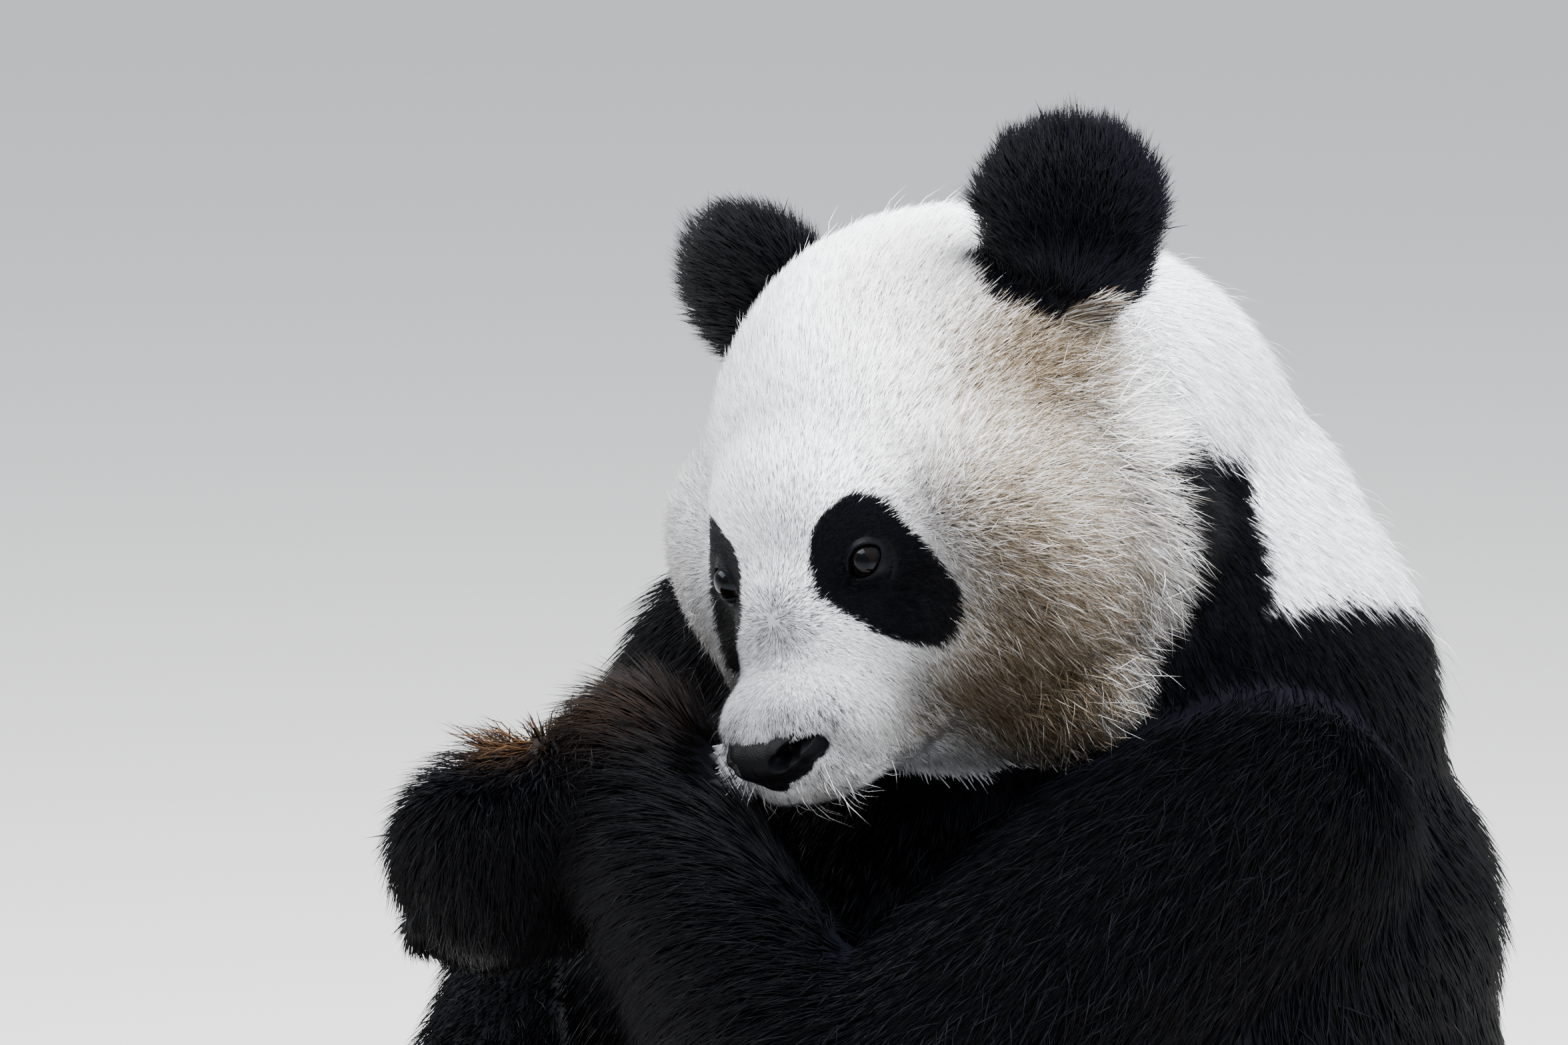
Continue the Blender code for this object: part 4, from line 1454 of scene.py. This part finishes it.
def region(*names):
    wanted = [PART[name] for name in names]
    return lambda points, part: np.isin(part, wanted)


def front_of_head(points, part):
    local = from_head(points)
    front = (local[:, 1] > 0.085 + 0.25 * np.maximum(abs(local[:, 0]) - 0.055, 0)) & (local[:, 2] < 0.125)
    return (part == PART["head"]) & front


def back_of_head(points, part):
    return (part == PART["head"]) & ~front_of_head(points, part)


def muzzle_region(points, part):
    local = from_head(points)
    return front_of_head(points, part) & (local[:, 1] - 0.5 * local[:, 2] > 0.170)


def face_region(points, part):
    return front_of_head(points, part) & ~muzzle_region(points, part)


def crown_region(points, part):
    return back_of_head(points, part) & (from_head(points)[:, 2] >= CROWN_HEIGHT)


def cheek_region(side):
    def chosen(points, part):
        local = from_head(points)
        return back_of_head(points, part) & (local[:, 0] * side > 0) & (local[:, 2] < CROWN_HEIGHT)

    return chosen


def stray_region(points, part):
    return back_of_head(points, part) | ((part == PART["trunk"]) & (points[:, 2] > 0.62))


def trunk_region(low, high):
    def chosen(points, part):
        middle = (points[:, 2] >= low) & (points[:, 2] < high)
        return np.isin(part, [PART["trunk"], PART["tail"]]) & middle

    return chosen


# ---------------------------------------------------------------- nose, pads, claws, eyes

# The left nostril, three dents in a row: place on the head, radii and depth
NOSTRIL = (
    ((0.0185, 0.2130, -0.0665), (0.0062, 0.030, 0.0056), 0.0090),
    ((0.0245, 0.2070, -0.0640), (0.0066, 0.030, 0.0060), 0.0110),
    ((0.0310, 0.1990, -0.0608), (0.0062, 0.030, 0.0052), 0.0090),
)


def build_nose():
    """The nose pad, with a comma-shaped nostril at each side and a cleft below."""
    mesh = fused(NOSE_MASSES, 0.0009, 16)
    points = coordinates(mesh)
    local = from_head(points)
    for _, side in SIDES:
        inward = head_way(-0.50 * side, -0.86, 0.0)
        for place, radii, depth in NOSTRIL:
            away = ((local - side_of(side, row(*place))) / row(*radii)) ** 2
            dent = depth * np.clip(1 - away.sum(1), 0, 1) ** 0.8
            points += dent[:, None] * inward
    cleft = 0.0018 * np.exp(-((local[:, 0] / 0.0012) ** 2)) * ramp(-0.064, -0.074, local[:, 2])
    points += cleft[:, None] * head_way(0.0, -1.0, 0.0)
    set_coordinates(mesh, points)
    return smoothed(mesh, 2)


def pad_masses(paw):
    """A broad pad across the sole, a small one under each toe, and one at the wrist or heel."""
    axes = np.array([paw.across, paw.toes, paw.sole])
    top = paw.length * 0.25 - 0.004
    broad = paw.middle + paw.toes * paw.length * 0.10 + paw.sole * top
    heel = paw.middle - paw.toes * paw.length * 0.20 + paw.sole * (top - 0.006)
    made = [
        ball(broad, (paw.width * 0.31, paw.length * 0.095, 0.011), axes),
        ball(heel, (paw.width * 0.17, paw.length * 0.075, 0.009), axes),
    ]
    for index in range(TOES):
        tip = paw.toe(index) + paw.sole * paw.width * 0.085 + paw.toes * 0.002
        made.append(ball(tip, (0.0105, 0.0125, 0.0085), axes))
    return made


def build_pads(paw):
    """The paw's pads, kept off the floor."""
    mesh = fused(pad_masses(paw), 0.002, 6)
    points = coordinates(mesh)
    points[:, 2] = np.maximum(points[:, 2], 0.001)
    set_coordinates(mesh, points)
    return mesh


def add_claw(bm, root, along, bend):
    """Add one curved horn, round at the root and narrow at the point. Each vertex's share of the way along it."""
    own = bmesh.new()
    bmesh.ops.create_cone(own, cap_ends=True, segments=12, radius1=1.0, radius2=1.0, depth=1.0)
    long_edges = [e for e in own.edges if abs(e.verts[0].co.z - e.verts[1].co.z) > 0.5]
    bmesh.ops.subdivide_edges(own, edges=long_edges, cuts=9)
    side = np.cross(along, bend)
    t = [vert.co.z + 0.5 for vert in own.verts]
    for vert, s in zip(own.verts, t):
        s = min(max(s, 0.0), 1.0)
        size = CLAW_RADIUS * min(((1.0 - s) ** 0.7 + 0.12), 1.0)
        centre = root + along * CLAW_LENGTH * s + bend * CLAW_LENGTH * 0.32 * s * s
        over = unit(bend - along * 0.64 * s)
        vert.co = Vector(centre + side * vert.co.x * size * 0.78 + over * vert.co.y * size)
    bmesh.ops.recalc_face_normals(own, faces=own.faces[:])
    take_in(bm, mesh_of(own, "claw"))
    return t


def build_claws(paw):
    """The claws of one paw."""
    bm = bmesh.new()
    along = []
    for index in range(TOES):
        along += add_claw(bm, paw.toe(index) + paw.along * paw.width * 0.085, paw.along, paw.bend)
    mesh = mesh_of(bm, "claws")
    points = coordinates(mesh)
    along = np.array(along)
    streak = np.stack([points @ np.cross(paw.along, paw.bend), points @ paw.bend, along * 0.004], 1) * 900
    set_attributes(mesh, along=along, streak=streak)
    return mesh


def build_eye(name, side):
    """An eyeball with a clear bulge over its iris."""
    gaze, corner, _ = eye_frame(name, side)
    bm = bmesh.new()
    bmesh.ops.create_uvsphere(bm, u_segments=56, v_segments=48, radius=1.0)
    mesh = mesh_of(bm, "eye")
    sphere = unit(coordinates(mesh))
    angle = np.arccos(np.clip(sphere[:, 2], -1, 1))
    bulge = 0.0011 * ramp(radians(44), radians(20), angle)
    turned = sphere @ np.array([corner, np.cross(gaze, corner), gaze])
    set_coordinates(mesh, EYE_CENTRE[name] + turned * (EYE_RADIUS + bulge)[:, None])
    around = np.arctan2(sphere[:, 1], sphere[:, 0])
    spoke = np.stack([np.cos(around), np.sin(around), angle * 0.5], 1)
    # The corner's share takes the inner corner's pale reddish colour, partly a painted glint
    set_attributes(mesh, polar=angle / radians(60), corner=ramp(0.80, 0.93, sphere[:, 0]), spoke=spoke)
    return mesh


# Where long stiff hairs grow: amount, place on the head and reach
BROW_WHISKERS = ((0.050, (0.040, 0.128, 0.036), 0.008),)
LIP_WHISKERS = ((0.085, (0.026, 0.192, -0.098), 0.014), (0.016, (0.060, 0.150, -0.092), 0.020))


def build_whiskers(settings):
    """Long stiff hairs: pale on the lips and chin, dark over the eyes."""
    random = np.random.default_rng(40)
    roots = ground_of(front_of_head).sow(12000, random)
    local = mirrored_head(roots.points)
    share = spots(local, BROW_WHISKERS) + spots(local, LIP_WHISKERS)
    roots = roots.kept((random.random(len(roots)) < share) & clear_of_bare(roots))
    local = from_head(roots.points)
    count = len(roots)
    roots.dark = local[:, 2] > -0.03
    length, lift = random.uniform(0.012, 0.034, count), random.uniform(25, 60, count)
    roots.coat = np.stack([length, lift, np.full(count, 0.00034)], 1)
    aside, ahead = np.sign(local[:, 0]) * random.uniform(0.0, 0.7, count), random.uniform(-0.2, 0.5, count)
    ways = np.stack([aside, ahead, np.where(roots.dark, 0.6, -1.0)], 1) @ HEAD_AXES
    roots.lie = flattened(ways, roots.normals)
    mesh = tuft_mesh("coat_whiskers", roots, settings, random, True, {"gather": 0.0, "wild": 0.35})
    mesh.materials.append(bpy.data.materials["coat_hair"])
    return mesh


# ---------------------------------------------------------------- settings


class PandaSkinSettings(bpy.types.PropertyGroup):
    """The skin's fineness"""

    voxel: bpy.props.FloatProperty(
        name="Skin fineness", description="Width of the skin's facets on the body", default=0.0072, unit="LENGTH"
    )


class PandaCoatSettings(bpy.types.PropertyGroup):
    """How much hair there is, and its colours"""

    density: bpy.props.FloatProperty(
        name="Density", description="Number of tufts, as a share of the full coat", default=1.0
    )
    length: bpy.props.FloatProperty(
        name="Length", description="Length of the hair, as a share of the full length", default=1.0
    )
    thickness: bpy.props.FloatProperty(name="Tuft width", description="Width of each tuft, as a share", default=1.0)
    white: bpy.props.FloatVectorProperty(
        name="White", description="Colour of the white coat", default=(0.90, 0.92, 0.96), subtype="COLOR"
    )
    # Partly painted shade: the stained coat's colour is darker than the stain alone, for the shade among the cheek's
    # hairs
    tan: bpy.props.FloatVectorProperty(
        name="Tan", description="Colour of the stained white coat", default=(0.175, 0.142, 0.104), subtype="COLOR"
    )
    black: bpy.props.FloatVectorProperty(
        name="Black", description="Colour of the black coat", default=(0.0018, 0.0019, 0.0030), subtype="COLOR"
    )
    rust: bpy.props.FloatVectorProperty(
        name="Rust", description="Colour of the black coat's worn tips", default=(0.26, 0.13, 0.05), subtype="COLOR"
    )


class PandaEyeSettings(bpy.types.PropertyGroup):
    """The eyes' colour"""

    iris: bpy.props.FloatVectorProperty(
        name="Iris", description="Colour of the iris", default=(0.0032, 0.0019, 0.0013), subtype="COLOR"
    )


class PandaStageSettings(bpy.types.PropertyGroup):
    """Floor, lights and camera"""

    floor: bpy.props.FloatVectorProperty(
        name="Floor", description="Colour of the floor", default=(0.52, 0.515, 0.50), subtype="COLOR"
    )
    key: bpy.props.FloatProperty(
        name="Key light", description="Power of the large soft light", default=190.0, unit="POWER"
    )
    sky: bpy.props.FloatProperty(name="Surrounding light", description="Strength of the light all round", default=1.55)
    distance: bpy.props.FloatProperty(
        name="Camera distance", description="From the camera to the panda's head", default=5.0, unit="LENGTH"
    )
    focal: bpy.props.FloatProperty(
        name="Focal length", description="Lens of the camera, in millimetres", default=198.98
    )


# ---------------------------------------------------------------- operators


class PANDA_OT_skin(bpy.types.Operator):
    """Make the skin, with its lids, lips and ear cups"""

    bl_idname = "panda.skin"
    bl_label = "Skin"

    def execute(self, context):
        mesh, shares = build_skin(context.scene.panda_skin)
        dress_skin(mesh, shares)
        mesh.materials.append(skin_material(context.scene.panda_coat))
        new_piece("skin", mesh, FLESH)
        return {"FINISHED"}


class PANDA_OT_eyes(bpy.types.Operator):
    """Make the two eyes"""

    bl_idname = "panda.eyes"
    bl_label = "Eyes"

    def execute(self, context):
        material = eye_material(context.scene.panda_eyes)
        for name, side in SIDES:
            mesh = build_eye(name, side)
            mesh.materials.append(material)
            new_piece("eyeball_" + name, mesh, ["eye_" + name])
        return {"FINISHED"}


class PANDA_OT_nose(bpy.types.Operator):
    """Make the nose pad"""

    bl_idname = "panda.nose"
    bl_label = "Nose"

    def execute(self, context):
        mesh = build_nose()
        mesh.materials.append(leather_material("nose_leather", 1400.0, NOSE_LEATHER))
        new_piece("nose_pad", mesh, ["nose"])
        return {"FINISHED"}


class PANDA_OT_paws(bpy.types.Operator):
    """Make the claws and the pads of the hands and feet"""

    bl_idname = "panda.paws"
    bl_label = "Claws and pads"

    def execute(self, context):
        horn = claw_material()
        leather = leather_material("sole_leather", 700.0, SOLE_LEATHER)
        for name, paw in PAWS.items():
            mesh = build_claws(paw)
            mesh.materials.append(horn)
            nodes = [f"claw_{name}_{index + 1}" for index in range(TOES)]
            new_piece("claws_" + name, mesh, nodes)
            mesh = build_pads(paw)
            mesh.materials.append(leather)
            new_piece("pads_" + name, mesh)
        return {"FINISHED"}


class PANDA_OT_head_coat(bpy.types.Operator):
    """Lay the coat of the face, cheeks, crown and ears"""

    bl_idname = "panda.head_coat"
    bl_label = "Coat of the head"

    def execute(self, context):
        coat = context.scene.panda_coat
        fine = {"every": 4, "gather": 0.35, "wild": 0.28}
        grow("coat_muzzle", "coat_white", muzzle_region, 33000, 0, 10, coat, **fine)
        grow("coat_face", "coat_white", face_region, 44000, 0, 11, coat, **fine)
        locks = {"every": 6, "gather": 0.38, "wild": 0.26}
        grow("coat_cheek_left", "coat_white", cheek_region(1), 30000, 7000, 12, coat, **locks)
        grow("coat_cheek_right", "coat_white", cheek_region(-1), 12000, 2200, 13, coat, **locks)
        grow("coat_crown", "coat_white", crown_region, 31000, 2000, 14, coat, **locks)
        stray = {"wild": 0.20, "longer": 1.4, "thinner": 0.22, "lifted": 1.7, "spread": 0.4}
        grow("coat_strays", "coat_white", stray_region, 0, 1000, 17, coat, **stray)
        new_piece("coat_whiskers", build_whiskers(coat))
        ears = {"every": 4, "gather": 0.30, "wild": 0.22}
        grow("coat_ear_left", "coat_black", region("ear_left"), 13000, 1200, 15, coat, **ears)
        grow("coat_ear_right", "coat_black", region("ear_right"), 8000, 500, 16, coat, **ears)
        return {"FINISHED"}


class PANDA_OT_body_coat(bpy.types.Operator):
    """Lay the coat of the neck, trunk and tail"""

    bl_idname = "panda.body_coat"
    bl_label = "Coat of the body"

    def execute(self, context):
        coat = context.scene.panda_coat
        locks = {"every": 8, "gather": 0.5, "wild": CALM}
        soft = {"every": 6, "gather": 0.30, "wild": 0.18}
        grow("coat_neck", "coat_white", trunk_region(0.60, 2.0), 40000, 2000, 21, coat, **soft)
        grow("coat_chest", "coat_black", trunk_region(0.36, 0.60), 14000, 2000, 22, coat, **locks)
        grow("coat_belly", "coat_white", trunk_region(-1.0, 0.36), 16000, 1200, 23, coat, **locks)
        return {"FINISHED"}


class PANDA_OT_limb_coat(bpy.types.Operator):
    """Lay the coat of the arms and legs"""

    bl_idname = "panda.limb_coat"
    bl_label = "Coat of the limbs"

    def execute(self, context):
        coat = context.scene.panda_coat
        locks = {"every": 8, "gather": 0.55, "wild": CALM}
        grow("coat_arm_left", "coat_black", region("arm_left"), 27000, 7000, 31, coat, **locks)
        grow("coat_hand_left", "coat_black", region("hand_left"), 9000, 3000, 35, coat, **locks)
        grow("coat_arm_right", "coat_black", region("arm_right", "hand_right"), 11000, 1500, 32, coat, **locks)
        grow("coat_leg_left", "coat_black", region("leg_left", "foot_left"), 9500, 700, 33, coat, **locks)
        grow("coat_leg_right", "coat_black", region("leg_right", "foot_right"), 9500, 700, 34, coat, **locks)
        return {"FINISHED"}


class PANDA_OT_stage(bpy.types.Operator):
    """Set the floor, the lights and the camera"""

    bl_idname = "panda.stage"
    bl_label = "Stage"

    def execute(self, context):
        stage = context.scene.panda_stage
        bm = bmesh.new()
        bmesh.ops.create_grid(bm, x_segments=8, y_segments=8, size=40.0)
        mesh = mesh_of(bm, "floor")
        floor = bpy.data.objects.new("floor", mesh)
        context.scene.collection.objects.link(floor)
        material, _, shader = new_material("floor")
        shader.inputs["Base Color"].default_value = (*stage.floor, 1.0)
        shader.inputs["Roughness"].default_value = 0.9
        mesh.materials.append(material)
        world = bpy.data.worlds.new("studio")
        world.use_nodes = True
        tree = world.node_tree
        place = node(tree, "ShaderNodeTexCoord", (-900, 0))
        parts = node(tree, "ShaderNodeSeparateXYZ", (-700, 0))
        fade = node(tree, "ShaderNodeMapRange", (-500, 0))
        fade.inputs["From Min"].default_value = -0.2
        fade.inputs["From Max"].default_value = 0.9
        sky = blend(tree, fade.outputs[0], (0.12, 0.13, 0.14), (1.00, 1.04, 1.14), (-250, 0))
        tree.links.new(place.outputs["Generated"], parts.inputs[0])
        tree.links.new(parts.outputs["Z"], fade.inputs["Value"])
        tree.links.new(sky, tree.nodes["Background"].inputs["Color"])
        tree.nodes["Background"].inputs["Strength"].default_value = stage.sky
        context.scene.world = world
        aim = Vector(SHIFT + (0.0, -0.08, 0.74))
        for name, way, far, wide, tall, power in (
            ("key", (-0.50, -0.50, 0.71), 2.7, 3.2, 1.8, stage.key),
            ("top", (0.60, 0.32, 1.00), 2.5, 2.2, 2.2, stage.key * 3.7),
        ):
            lamp = bpy.data.lights.new(name, "AREA")
            lamp.energy = power
            lamp.shape = "RECTANGLE"
            lamp.size = wide
            lamp.size_y = tall
            light = bpy.data.objects.new(name, lamp)
            way = Vector(way).normalized()
            light.location = aim + way * far
            light.rotation_euler = way.to_track_quat("Z", "Y").to_euler()
            light.visible_glossy = name == "key"  # the top light would put a second glint on the eyes
            context.scene.collection.objects.link(light)
        camera = bpy.data.cameras.new("camera")
        camera.lens = stage.focal
        camera.sensor_width = 36.0
        seat = bpy.data.objects.new("camera", camera)
        # It looks from the front left, 45 degrees round and 10 degrees up
        right, up, back = (0.7071, 0.7071, 0.0), (-0.1228, 0.1228, 0.9848), Vector((0.6964, -0.6964, 0.1736))
        place = Matrix((right, up, back)).transposed().to_4x4()
        place.translation = aim + back * stage.distance
        seat.matrix_world = place
        context.scene.collection.objects.link(seat)
        context.scene.camera = seat
        return {"FINISHED"}


class PANDA_PT_panel(bpy.types.Panel):
    """Steps of the finish, in order"""

    bl_label = "Giant Panda"
    bl_idname = "PANDA_PT_panel"
    bl_space_type = "VIEW_3D"
    bl_region_type = "UI"
    bl_category = "Panda"

    def draw(self, context):
        layout = self.layout
        for operator in OPERATORS:
            layout.operator(operator.bl_idname)
        for group_name in SETTINGS:
            settings = getattr(context.scene, group_name)
            box = layout.box()
            for name in settings.bl_rna.properties.keys():
                if name not in ("name", "rna_type"):
                    box.prop(settings, name)


OPERATORS = (
    PANDA_OT_skin,
    PANDA_OT_eyes,
    PANDA_OT_nose,
    PANDA_OT_paws,
    PANDA_OT_head_coat,
    PANDA_OT_body_coat,
    PANDA_OT_limb_coat,
    PANDA_OT_stage,
)
SETTINGS = {
    "panda_skin": PandaSkinSettings,
    "panda_coat": PandaCoatSettings,
    "panda_eyes": PandaEyeSettings,
    "panda_stage": PandaStageSettings,
}


def register():
    for name, kind in SETTINGS.items():
        bpy.utils.register_class(kind)
        setattr(bpy.types.Scene, name, bpy.props.PointerProperty(type=kind))
    for kind in (*OPERATORS, PANDA_PT_panel):
        bpy.utils.register_class(kind)


def unregister():
    for kind in (PANDA_PT_panel, *reversed(OPERATORS)):
        bpy.utils.unregister_class(kind)
    for name, kind in SETTINGS.items():
        delattr(bpy.types.Scene, name)
        bpy.utils.unregister_class(kind)


def main():
    register()
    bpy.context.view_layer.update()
    bpy.ops.panda.skin()
    bpy.ops.panda.eyes()
    bpy.ops.panda.nose()
    bpy.ops.panda.paws()
    bpy.ops.panda.head_coat()
    bpy.ops.panda.body_coat()
    bpy.ops.panda.limb_coat()
    bpy.ops.panda.stage()


if __name__ == "__main__":
    main()
